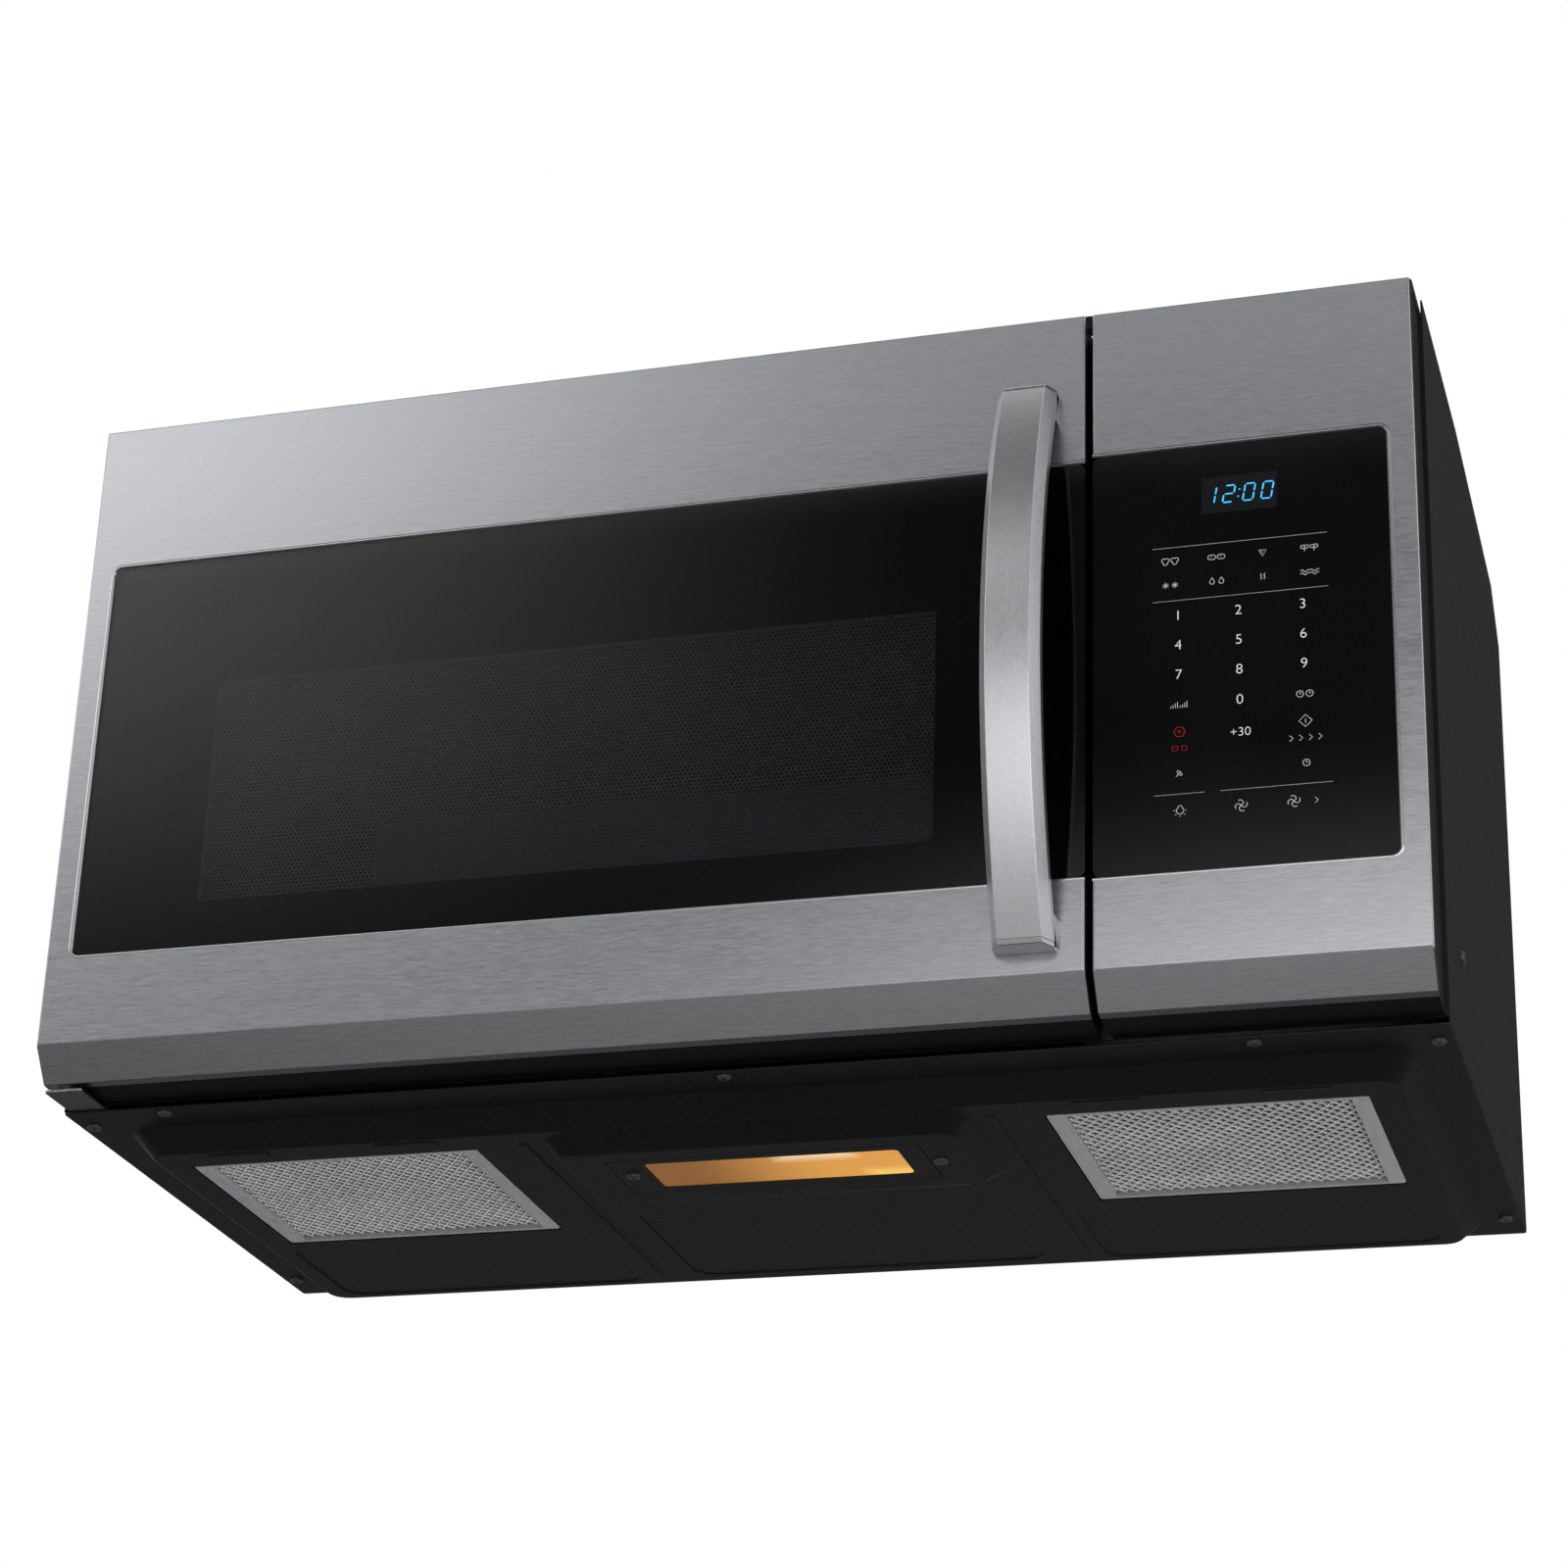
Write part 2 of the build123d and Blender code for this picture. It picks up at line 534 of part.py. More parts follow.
def control_frame():
    frame = front_frame(PANEL_X, PANEL_GLASS_X, PANEL_GLASS_H)
    frame -= front_plate(CLOCK_X, CLOCK_H, (0, PANEL_WEB_REAR + 1), 1)
    for x in (BOARD_X[0] + 6, BOARD_X[1] - 6):
        for height in (BOARD_H[0] + 6, BOARD_H[1] - 6):
            post = rod((x, back(PANEL_WEB_REAR - 0.5), up(height)), (0, 1, 0), 3.5,
                       BOARD_DEPTH - PANEL_WEB_REAR + 0.5)
            frame += post
    for height in (70, 340):
        frame += slab((PANEL_X[0] + 3, PANEL_X[0] + 10), (FRAME_BACK - 4, FRONT_FRAME_DEPTH),
                      (height - 10, height + 10))
        frame += slab((FRONT_W / 2 - 10, FRONT_W / 2 - 3), (FRAME_BACK - 4, FRONT_DEPTH),
                      (height - 10, height + 10))
    return frame


def display_module():
    """Clock display: a lens that fills the hole in the web, on its own small case."""
    lens = front_plate((CLOCK_X[0] + CLEAR, CLOCK_X[1] - CLEAR), (CLOCK_H[0] + CLEAR, CLOCK_H[1] - CLEAR),
                       (GLASS_FACE + GLASS_T + 0.1, PANEL_WEB_REAR), 0.8)
    case = slab((CLOCK_X[0] - 6, CLOCK_X[1] + 6), (PANEL_WEB_REAR, PANEL_WEB_REAR + 9),
                (CLOCK_H[0] - 5, CLOCK_H[1] + 5))
    pins = slab((CLOCK_X[0], CLOCK_X[1]), (PANEL_WEB_REAR + 9, BOARD_DEPTH - 1),
                (CLOCK_H[0] - 4, CLOCK_H[0] - 2))
    return lens + case + pins


# from the board's left edge: x, height, width, height of the piece, depth
BOARD_BLOCKS = ((16, 118, 26, 30, 15.5), (50, 114, 18, 22, 14), (72, 114, 18, 22, 14), (94, 114, 18, 22, 14),
                (14, 168, 12, 40, 9), (64, 160, 24, 24, 4))
BOARD_CANS = ((94, 162, 9, 9), (36, 156, 6, 13), (40, 186, 5, 12), (104, 200, 7, 14))


def control_board():
    """Circuit board with its relays, transformer, sounder and connectors."""
    board = slab(BOARD_X, (BOARD_DEPTH, BOARD_DEPTH + 1.6), BOARD_H)
    rear = BOARD_DEPTH + 1.6
    for right, height, w, tall, deep in BOARD_BLOCKS:
        x = BOARD_X[0] + right
        board += slab((x - w / 2, x + w / 2), (rear, rear + deep), (height - tall / 2, height + tall / 2))
    for right, height, radius, deep in BOARD_CANS:
        board += rod((BOARD_X[0] + right, back(rear), up(height)), (0, 1, 0), radius, deep)
    return board


# ------------------------------------------------------------ oven cavity and front frame

def oven_cavity():
    """Welded cavity: drawn box open to the front, with its full front frame."""
    t = SHEET
    outer_x = (CAVITY_X[0] - t, CAVITY_X[1] + t)
    outer_h = (CAVITY_H[0] - t, CAVITY_H[1] + t)
    box = front_plate(outer_x, outer_h, (FRONT_FRAME_DEPTH, CAVITY_BACK + t), CAVITY_R + t)
    frame_x = (-CASE_W / 2 + 2.2, CASE_W / 2 - 2.2)
    frame = slab(frame_x, (FRONT_FRAME_DEPTH, FRONT_FRAME_DEPTH + t), (4.0, FACE_TOP + 1))
    hollow = front_plate(CAVITY_X, CAVITY_H, (FRONT_FRAME_DEPTH - 1, CAVITY_BACK), CAVITY_R)
    cavity = box + frame - hollow
    cavity -= slab((PANEL_X[0] + 12, FRONT_W / 2 - 14), (FRONT_FRAME_DEPTH - 1, FRONT_FRAME_DEPTH + t + 1),
                   (30, FACE_TOP - 30))
    for height in LATCH_HEIGHTS:
        cavity -= slab((LATCH_X - 4, LATCH_X + 4), (FRONT_FRAME_DEPTH - 1, FRONT_FRAME_DEPTH + t + 1),
                       (height - 15, height + 13))
    cavity -= rod((TABLE_X, back(TABLE_DEPTH), up(CAVITY_H[0] + 1)), (0, 0, -1), COUPLER_R + 2, 3)
    port = slab((CAVITY_X[1] - 1, CAVITY_X[1] + t + 1), (WAVE_DEPTH[0] + 12, WAVE_DEPTH[0] + 52),
                (WAVE_H[0] + 6, WAVE_H[1] - 6))
    return cavity - port


WAVE_DEPTH = (160.0, 330.0)
WAVE_H = (200.0, 284.0)
WAVE_OUT = 38.0
WAVE_X = (CAVITY_X[1] + SHEET, CAVITY_X[1] + SHEET + WAVE_OUT)
ANTENNA_DEPTH = 292.0
ANTENNA_R = 9.0
ANTENNA_L = 26.0
TUBE_H = middle(WAVE_H)
TUBE_R = 18.0
YOKE_L = 82.0
YOKE_HALF_D = 40.0
YOKE_HALF_H = 36.0
YOKE_T = 2.0
FIN_X = (16.0, 30.0, 44.0, 58.0)
FIN_T = 1.2
FILTER_BOX_L = 26.0


def waveguide():
    """Sheet duct from the magnetron's antenna to the port in the cavity wall."""
    t = SHEET
    duct = slab(WAVE_X, WAVE_DEPTH, WAVE_H)
    duct -= slab((WAVE_X[0] - 1, WAVE_X[1] - t), (WAVE_DEPTH[0] + t, WAVE_DEPTH[1] - t),
                 (WAVE_H[0] + t, WAVE_H[1] - t))
    flange = slab((WAVE_X[0], WAVE_X[0] + t), (WAVE_DEPTH[0] - 8, WAVE_DEPTH[1] + 8),
                  (WAVE_H[0] - 8, WAVE_H[1] + 8))
    flange -= slab((WAVE_X[0] - 1, WAVE_X[0] + 2), (WAVE_DEPTH[0] + t, WAVE_DEPTH[1] - t),
                   (WAVE_H[0] + t, WAVE_H[1] - t))
    duct += flange
    return duct - rod((WAVE_X[1] + 1, back(ANTENNA_DEPTH), up(TUBE_H)), (-1, 0, 0), ANTENNA_R + 3, 5)


def magnetron():
    """Tube with antenna, cooling fins in an open yoke, and its filter box."""
    foot = WAVE_X[1]
    axis_y, axis_z = back(ANTENNA_DEPTH), up(TUBE_H)
    yoke_x = (foot, foot + YOKE_L)
    d = (ANTENNA_DEPTH - YOKE_HALF_D, ANTENNA_DEPTH + YOKE_HALF_D)
    h = (TUBE_H - YOKE_HALF_H, TUBE_H + YOKE_HALF_H)
    yoke = slab(yoke_x, d, h) - slab((yoke_x[0] + YOKE_T, yoke_x[1] - YOKE_T), (d[0] + YOKE_T, d[1] - YOKE_T),
                                     (h[0] - 1, h[1] + 1))
    body = yoke + prism((foot + YOKE_T / 2, axis_y, axis_z), (1, 0, 0), TUBE_R, YOKE_L - YOKE_T, 12)
    body += rod((foot + YOKE_T / 2, axis_y, axis_z), (-1, 0, 0), ANTENNA_R, ANTENNA_L)
    for x in FIN_X:
        body += slab((foot + x, foot + x + FIN_T), (d[0] + YOKE_T * 3 / 4, d[1] - YOKE_T * 3 / 4), (h[0] + 3, h[1] - 3))
    body += slab((yoke_x[1] - YOKE_T / 4, yoke_x[1] + FILTER_BOX_L), (d[0] + 10, d[1] - 10), (h[0] + 8, h[1] - 8))
    return body


def mica_cover():
    return slab((CAVITY_X[1] - 0.5, CAVITY_X[1]), (WAVE_DEPTH[0] + 4, WAVE_DEPTH[0] + 60),
                (WAVE_H[0], WAVE_H[1]))


# ------------------------------------------------------------ shelf and what it carries

SHELF_X = (CAVITY_X[1] + SHEET + 1.0, CASE_W / 2 - SHEET - 0.4)
SHELF_D = (FRONT_FRAME_DEPTH + SHEET + 0.2, DEPTH - SHEET - 0.3)
CORE_X = (SPLIT_X + 20.2, SPLIT_X + 120.2)
CORE_D = (120.0, 184.0)
CORE_H = (SHELF_H + SHEET, SHELF_H + SHEET + 78.0)


def component_shelf():
    """Folded tray under the electrical parts, above the air space of the base."""
    tray = slab(SHELF_X, SHELF_D, (SHELF_H, SHELF_H + 14))
    tray -= slab((SHELF_X[0] + SHEET, SHELF_X[1] - SHEET), (SHELF_D[0] + SHEET, SHELF_D[1] - SHEET),
                 (SHELF_H + SHEET, SHELF_H + 15))
    return tray - screw_hole((SHELF_X[1] + 1, back(SIDE_SCREW[0]), up(SIDE_SCREW[1])), (-1, 0, 0), 4)


def transformer():
    """Laminated core with its two coils."""
    core = slab(CORE_X, CORE_D, CORE_H)
    for x in (CORE_X[0] + 22, CORE_X[1] - 22):
        core -= slab((x - 9, x + 9), (CORE_D[0] - 1, CORE_D[1] + 1), (CORE_H[0] + 18, CORE_H[1] - 18))
    winding_h = ((CORE_H[0] + 18.5, CORE_H[0] + 37), (CORE_H[0] + 40, CORE_H[1] - 18.5))
    for low, high in winding_h:
        coil = floor_plate((CORE_X[0] + 13.5, CORE_X[1] - 13.5), (CORE_D[0] - 15, CORE_D[1] + 15),
                           (low, high), 12)
        coil -= slab((CORE_X[0] + 31, CORE_X[1] - 31), (CORE_D[0], CORE_D[1]), (low - 1, high + 1))
        coil -= slab((CORE_X[0] - 1, CORE_X[0] + 13.5), (CORE_D[0] - 20, CORE_D[1] + 20), (low - 1, high + 1))
        core += coil
    return core


CAN_X = SPLIT_X - 5.8
CAN_DEPTH = 115.0
CAN_LONG = 52.0
CAN_WIDE = 32.0
CAN_TALL = 88.0
CAN_FOOT = 5.0


def capacitor():
    """Oval can with its clamp foot and two terminals."""
    low = SHELF_H + SHEET
    top = low + CAN_FOOT + CAN_TALL
    can = Pos(CAN_X, back(CAN_DEPTH),
              up(low + CAN_FOOT)) * extrude(SlotOverall(CAN_LONG, CAN_WIDE, rotation=90), CAN_TALL)
    can += slab((CAN_X - CAN_WIDE / 2, CAN_X + CAN_WIDE / 2), (CAN_DEPTH - 30, CAN_DEPTH + 30),
                (low, low + CAN_FOOT + 0.5))
    for place in (CAN_DEPTH - 10, CAN_DEPTH + 10):
        can += slab((CAN_X - 1, CAN_X + 1), (place - 3, place + 3), (top - 0.5, top + 12))
    return can


def fan_shroud():
    """Plate with a bell-mouth ring and three motor arms."""
    d = (FAN_SHROUD_DEPTH, FAN_SHROUD_DEPTH + 1.6)
    plate = front_plate((FAN_X - FAN_PLATE, FAN_X + FAN_PLATE), (SHELF_H + SHEET, FAN_H + FAN_PLATE), d, 4)
    plate -= rod((FAN_X, back(d[0] - 1), up(FAN_H)), (0, 1, 0), FAN_R + 2, 4)
    plate += tube((FAN_X, back(d[0] - 14), up(FAN_H)), (0, 1, 0), FAN_R + 4, FAN_R + 2, 15)
    for angle in (90, 210, 330):
        arm = slab((FAN_X + 10, FAN_X + FAN_R + 6), (d[0], d[1] + 2), (FAN_H - 4, FAN_H + 4))
        plate += arm.rotate(Axis((FAN_X, 0, up(FAN_H)), (0, 1, 0)), angle)
    hub = rod((FAN_X, back(d[0]), up(FAN_H)), (0, 1, 0), 16, 3.6) - rod((FAN_X, back(d[0] - 1), up(FAN_H)),
                                                                        (0, 1, 0), 5, 9)
    return plate + hub


def fan_motor():
    """Shaded-pole motor behind the shroud: stator block, coil and bearing housing."""
    face = FAN_SHROUD_DEPTH + 3.6
    body = slab((FAN_X - 26, FAN_X + 26), (face, face + 18), (FAN_H - 26, FAN_H + 30))
    body += rod((FAN_X, back(face + 17), up(FAN_H)), (0, 1, 0), 13, 7)
    body += slab((FAN_X - 16, FAN_X + 16), (face, face + 24), (FAN_H + 29, FAN_H + 48))
    return body - rod((FAN_X, back(face - 1), up(FAN_H)), (0, 1, 0), 2.5 + HINGE_FIT, 16)


def fan_blades():
    """Axial fan with its hub and a stub of the motor shaft."""
    face = FAN_SHROUD_DEPTH
    hub_d = (face - 15, face - 3)
    hub = rod((FAN_X, back(hub_d[0]), up(FAN_H)), (0, 1, 0), 14, span(hub_d))
    hub += rod((FAN_X, back(hub_d[1] - 1), up(FAN_H)), (0, 1, 0), 2.5, 20)
    for k in range(FAN_BLADES):
        plane = Plane(origin=(FAN_X, back(face - 9.7), up(FAN_H)), x_dir=(1, 0, 0), z_dir=(0, 1, 0))
        outline = [(11, -8), (FAN_R - 8, -16), (FAN_R - 2, -10), (FAN_R - 2, 10), (FAN_R - 8, 16), (11, 8)]
        blade = extrude(plane * make_face(Polyline(*outline, close=True)), 1.4)
        blade = blade.rotate(Axis((FAN_X, back(face - 9), up(FAN_H)), (1, 0, 0)), 22)
        hub += blade.rotate(Axis((FAN_X, 0, up(FAN_H)), (0, 1, 0)), k * 360 / FAN_BLADES)
    return hub


OVEN_LAMP_DEPTH = 106.0
OVEN_LAMP_H = 238.0


def cavity_lamp():
    """Oven lamp in its socket on the outside of the cavity wall."""
    x = CAVITY_X[1] + SHEET
    centre = (back(OVEN_LAMP_DEPTH), up(OVEN_LAMP_H))
    corners = [(x + 13, 0), (x + 13, 8), (x + 27, 8), (x + 33, 11), (x + 41, 7), (x + 44, 0)]
    plane = Plane(origin=(0, *centre), x_dir=(1, 0, 0), z_dir=(0, -1, 0))
    bulb = revolve(plane * make_face(Polyline(*corners, close=True)), Axis((0, *centre), (1, 0, 0)))
    return slab((x, x + 14), (OVEN_LAMP_DEPTH - 16, OVEN_LAMP_DEPTH + 16),
                (OVEN_LAMP_H - 12, OVEN_LAMP_H + 12)) + bulb


# ------------------------------------------------------------ turntable

FLOOR_H = CAVITY_H[0]
ROLLER_AXIS_H = FLOOR_H + CLEAR + ROLLER_R
TRACK_H = ROLLER_AXIS_H + ROLLER_R + CLEAR
TABLE = (TABLE_X, back(TABLE_DEPTH))


def turntable_motor():
    top = FLOOR_H - SHEET
    body = rod((*TABLE, up(top)), (0, 0, -1), 25, 18)
    body += slab((TABLE_X - 34, TABLE_X + 34), (TABLE_DEPTH - 6, TABLE_DEPTH + 6), (top - 1.5, top))
    body = body - rod((*TABLE, up(top + 1)), (0, 0, -1), COUPLER_R + 2, 4)
    return body - rod((*TABLE, up(top + 1)), (0, 0, -1), STEM_R + AXLE_FIT, 15)


def turntable_coupler():
    """Three-armed drive hub with its stem in the motor."""
    top = TRACK_H
    hub = rod((*TABLE, up(FLOOR_H - SHEET - 1.5)), (0, 0, 1), COUPLER_R, top - FLOOR_H + SHEET + 1.5)
    hub += rod((*TABLE, up(FLOOR_H - SHEET - 12)), (0, 0, 1), STEM_R, 12)
    for k in range(3):
        arm = floor_plate((TABLE_X, TABLE_X + COUPLER_ARM), (TABLE_DEPTH - 5, TABLE_DEPTH + 5),
                          (top - 9, top), 4)
        hub += arm.rotate(Axis((*TABLE, 0), (0, 0, 1)), 120 * k + 30)
    return hub


def glass_tray():
    """Turned glass plate with an upturned rim and three drive lugs below."""
    low = TRACK_H
    corners = [(0, low), (TRAY_R - 16, low), (TRAY_R - 2, low + TRAY_RIM - 1), (TRAY_R, low + TRAY_RIM + 3),
               (TRAY_R - 4, low + TRAY_RIM + 4), (TRAY_R - 19, low + TRAY_T), (0, low + TRAY_T)]
    plane = Plane(origin=(*TABLE, 0), x_dir=(1, 0, 0), z_dir=(0, -1, 0))
    section = plane * make_face(Polyline(*[(r, up(h)) for r, h in corners], close=True))
    tray = revolve(section, Axis((*TABLE, 0), (0, 0, 1)))
    for k in range(3):
        lug = slab((TABLE_X + 13, TABLE_X + 25), (TABLE_DEPTH - 4, TABLE_DEPTH + 4), (low - 5, low + 0.5))
        tray += lug.rotate(Axis((*TABLE, 0), (0, 0, 1)), 120 * k + 90)
    return tray


def roller_ring():
    """Plastic ring with three axle stubs."""
    low = ROLLER_AXIS_H - RING_T / 2
    ring = tube((*TABLE, up(low)), (0, 0, 1), RING_R + RING_T / 2, RING_R - RING_T / 2, RING_T)
    for k in range(3):
        angle = radians(120 * k)
        out = (cos(angle), sin(angle), 0)
        start = tuple(c + o * (RING_R + RING_T / 2 - 1) for c, o in zip((*TABLE, up(ROLLER_AXIS_H)), out))
        ring += rod(start, out, AXLE_R, ROLLER_CIRCLE + ROLLER_W / 2 + CLEAR - RING_R - RING_T / 2 + 1)
        tip = tuple(c + o * (ROLLER_CIRCLE + ROLLER_W / 2 + CLEAR) for c,
                    o in zip((*TABLE, up(ROLLER_AXIS_H)), out))
        ring += prism(tip, out, AXLE_R + 1.2, 1.6, 8)
    return ring


def roller(k):
    """Roller on one of the ring's axle stubs."""
    angle = radians(120 * k)
    out = (cos(angle), sin(angle), 0)
    start = tuple(c + o * (ROLLER_CIRCLE - ROLLER_W / 2) for c, o in zip((*TABLE, up(ROLLER_AXIS_H)), out))
    return tube(start, out, ROLLER_R, AXLE_R + AXLE_FIT, ROLLER_W)


# ------------------------------------------------------------ vent blower

SCROLL_L = WHEEL_W + 8.0
SCROLL_X = ((BLOWER_X - MOTOR_L / 2 - SCROLL_GAP / 2 - SCROLL_L, BLOWER_X - MOTOR_L / 2 - SCROLL_GAP / 2),
            (BLOWER_X + MOTOR_L / 2 + SCROLL_GAP / 2, BLOWER_X + MOTOR_L / 2 + SCROLL_GAP / 2 + SCROLL_L))
BLOWER_AXIS = (0, back(BLOWER_DEPTH), up(BLOWER_H))
OUTLET_REACH = 74.0
OUTLET_LOW = 6.0          # the outlet's floor lies this far below the axis
BRACKET_H = CAVITY_H[1] + SHEET + 3.0


def at_blower(x):
    return (x, BLOWER_AXIS[1], BLOWER_AXIS[2])


def scroll(x, inset=0.0, past=0.0):
    """Round fan chamber with a level outlet towards the front, as a solid; inset gives its inside."""
    inside = (x[0] + inset, x[1] - inset)
    radius = SCROLL_R - inset
    chamber = rod(at_blower(inside[0]), (1, 0, 0), radius, span(inside))
    front = BLOWER_DEPTH - OUTLET_REACH - past
    return chamber + slab(inside, (front, BLOWER_DEPTH), (BLOWER_H - OUTLET_LOW + inset, BLOWER_H + radius))


def blower_housing():
    """Two sheet scrolls joined by the motor bracket."""
    housing = None
    for x in SCROLL_X:
        inside = scroll(x, SCROLL_WALL, 5)
        foot = slab(x, (BLOWER_DEPTH - 10, DEPTH - SHEET - 0.1), (BRACKET_H, BRACKET_H + 3.5))
        shell = scroll(x) + foot - inside
        motor_side = x[1] if x[0] < BLOWER_X else x[0]
        far_side = x[0] if x[0] < BLOWER_X else x[1]
        shell -= rod(at_blower(motor_side - 3), (1, 0, 0), 12, 6)
        shell -= rod(at_blower(far_side - 3), (1, 0, 0), WHEEL_R - 8, 6)
        housing = shell if housing is None else housing + shell
    bracket = slab((SCROLL_X[0][1] - 1, SCROLL_X[1][0] + 1), (BLOWER_DEPTH - 10, DEPTH - SHEET - 0.1),
                   (BRACKET_H, BRACKET_H + 1.6))
    return housing + bracket


def blower_motor():
    half = MOTOR_L / 2
    body = rod(at_blower(BLOWER_X - half + 6), (1, 0, 0), MOTOR_R, MOTOR_L - 12)
    body += rod(at_blower(BLOWER_X - half + 0.4), (1, 0, 0), 11, MOTOR_L - 0.8)
    body += slab((BLOWER_X - 24, BLOWER_X + 24), (BLOWER_DEPTH - 9, BLOWER_DEPTH + 20),
                 (BRACKET_H + 1.6, BLOWER_H - MOTOR_R + 6))
    return body - rod(at_blower(BLOWER_X - half - 1), (1, 0, 0), SHAFT_R + HINGE_FIT, MOTOR_L + 2)


def blower_shaft():
    reach = MOTOR_L / 2 + SCROLL_GAP / 2 + SCROLL_L - SCROLL_WALL - 1
    return rod(at_blower(BLOWER_X - reach), (1, 0, 0), SHAFT_R, 2 * reach)


def blower_wheel(x, disc_x):
    """Squirrel-cage wheel: hub disc, forward-curved blades and two end rings."""
    axis = Axis(at_blower(x[0]), (1, 0, 0))
    wheel = tube(at_blower(x[0]), (1, 0, 0), WHEEL_R, WHEEL_R - 7, 1.6)
    wheel += tube(at_blower(x[1] - 1.6), (1, 0, 0), WHEEL_R, WHEEL_R - 7, 1.6)
    wheel += rod(at_blower(disc_x), (1, 0, 0), WHEEL_R, 1.6)
    wheel += rod(at_blower(disc_x - 6 if disc_x > middle(x) else disc_x), (1, 0, 0), 9, 7.6)
    plane = Plane(origin=at_blower(x[0] + 1.6), x_dir=(0, 1, 0), z_dir=(1, 0, 0))
    corners = [(WHEEL_R - 6.6, -1.4), (WHEEL_R - 3.2, 0.2), (WHEEL_R - 0.6, 3.2), (WHEEL_R - 1.2, 3.8),
               (WHEEL_R - 3.9, 1.0), (WHEEL_R - 6.8, -0.6)]
    blade = extrude(plane * make_face(Polyline(*corners, close=True)), span(x) - 3.2)
    blades = [blade.rotate(axis, k * 360 / BLADE_COUNT) for k in range(BLADE_COUNT)]
    wheel = wheel.fuse(*blades)
    return wheel - rod(at_blower(x[0] - 1), (1, 0, 0), SHAFT_R, span(x) + 2)


def blower_wheels():
    wheels = []
    for x in SCROLL_X:
        inner = (x[0] + 4.0, x[0] + 4.0 + WHEEL_W)
        disc = inner[1] - 1.6 if x[0] < BLOWER_X else inner[0]
        wheels.append(blower_wheel(inner, disc))
    return wheels


# ------------------------------------------------------------ case panels

SIDE_X = CASE_W / 2
FLANGE = 12.0
FACET_IN = 3.0
FACET_L = 201.0           # the corner facet runs this far forward and down
FACET_TALL = 43.5
FACET_D = DEPTH - FACET_L
FACET_H = CASE_H - FACET_TALL


def side_form(x_out):
    """Solid block behind a right-hand side panel, with its slanted rear top corner."""
    block = slab((x_out - 20, x_out), (FRONT_DEPTH, DEPTH), (PAN_T, CASE_H))
    start = Vector(x_out, back(FACET_D), up(CASE_H))
    low = Vector(x_out, back(DEPTH), up(FACET_H))
    inner = Vector(x_out - FACET_IN, back(DEPTH), up(CASE_H))
    normal = (low - start).cross(inner - start)
    plane = Plane(origin=start, x_dir=low - start, z_dir=normal)
    return split(block, bisect_by=plane, keep=Keep.BOTH).solids().sort_by(SortBy.VOLUME)[-1]


def case_side_right():
    sheet = side_form(SIDE_X) - Pos(-SHEET, 0, 0) * side_form(SIDE_X)
    sheet = sheet.solids().sort_by(SortBy.VOLUME)[-1]
    sheet += slab((SIDE_X - FLANGE, SIDE_X - SHEET / 2), (FRONT_DEPTH, FRONT_DEPTH + SHEET),
                  (4.5, FACE_TOP - 1))
    sheet += slab((SIDE_X - FLANGE, SIDE_X - SHEET / 2), (60, DEPTH - 12), (PAN_T, PAN_T + SHEET))
    sheet -= tube((SIDE_X + 1, back(KNOCKOUT_DEPTH), up(KNOCKOUT_H)), (-1, 0, 0), KNOCKOUT_R + 0.7,
                  KNOCKOUT_R - 0.7, 1.5)
    for x, d in RIM_SCREWS:
        if x > SIDE_X - FLANGE:
            sheet -= screw_hole((x, back(d), up(0)), (0, 0, 1), 4)
    return sheet - screw_hole((SIDE_X + 1, back(SIDE_SCREW[0]), up(SIDE_SCREW[1])), (-1, 0, 0), 4)


SIDE_SCREW = (104.5, 58.4)


def case_side_left():
    panel = case_side_right()
    return mirror(panel, about=Plane.YZ)


def case_top():
    """Top plate with the duct opening, two captive nuts and the cord hole."""
    inner = SIDE_X - SHEET - 0.2
    plate = slab((-inner, inner), (GRILLE_D[1] + 0.4, DEPTH - SHEET - 0.1), (CASE_H - SHEET, CASE_H))
    for x in ((-inner, -inner + SHEET), (inner - SHEET, inner)):
        plate += slab(x, (GRILLE_D[1] + 0.4, FACET_D - 10), (CASE_H - FLANGE, CASE_H))
    plate -= slab((BLOWER_X - EXHAUST_W / 2, BLOWER_X + EXHAUST_W / 2),
                  (BLOWER_DEPTH - EXHAUST_D / 2, BLOWER_DEPTH + EXHAUST_D / 2), (CASE_H - 3, CASE_H + 1))
    for x in (-TOP_BOLT_X, TOP_BOLT_X):
        place = (x, back(TOP_BOLT_DEPTH), up(CASE_H))
        nut_top = (x, back(TOP_BOLT_DEPTH), up(CASE_H - SHEET))
        plate += rod(nut_top, (0, 0, -1), BOLT_R * 2, 5)
        plate -= rod((place[0], place[1], place[2] + 1), (0, 0, -1), BOLT_R, 12)
    plate -= rod((CORD_X, back(CORD_DEPTH), up(CASE_H + 1)), (0, 0, -1), CORD_HOLE_R, 4)
    trim = profile_along_x([(FACET_D, CASE_H + 1), (DEPTH + 1, CASE_H + 1), (DEPTH + 1, CASE_H - 3),
                            (FACET_D, CASE_H - 3)],
                           (inner - FACET_IN - 0.4, inner + 1))
    plate -= trim
    plate -= mirror(trim, about=Plane.YZ)
    return plate


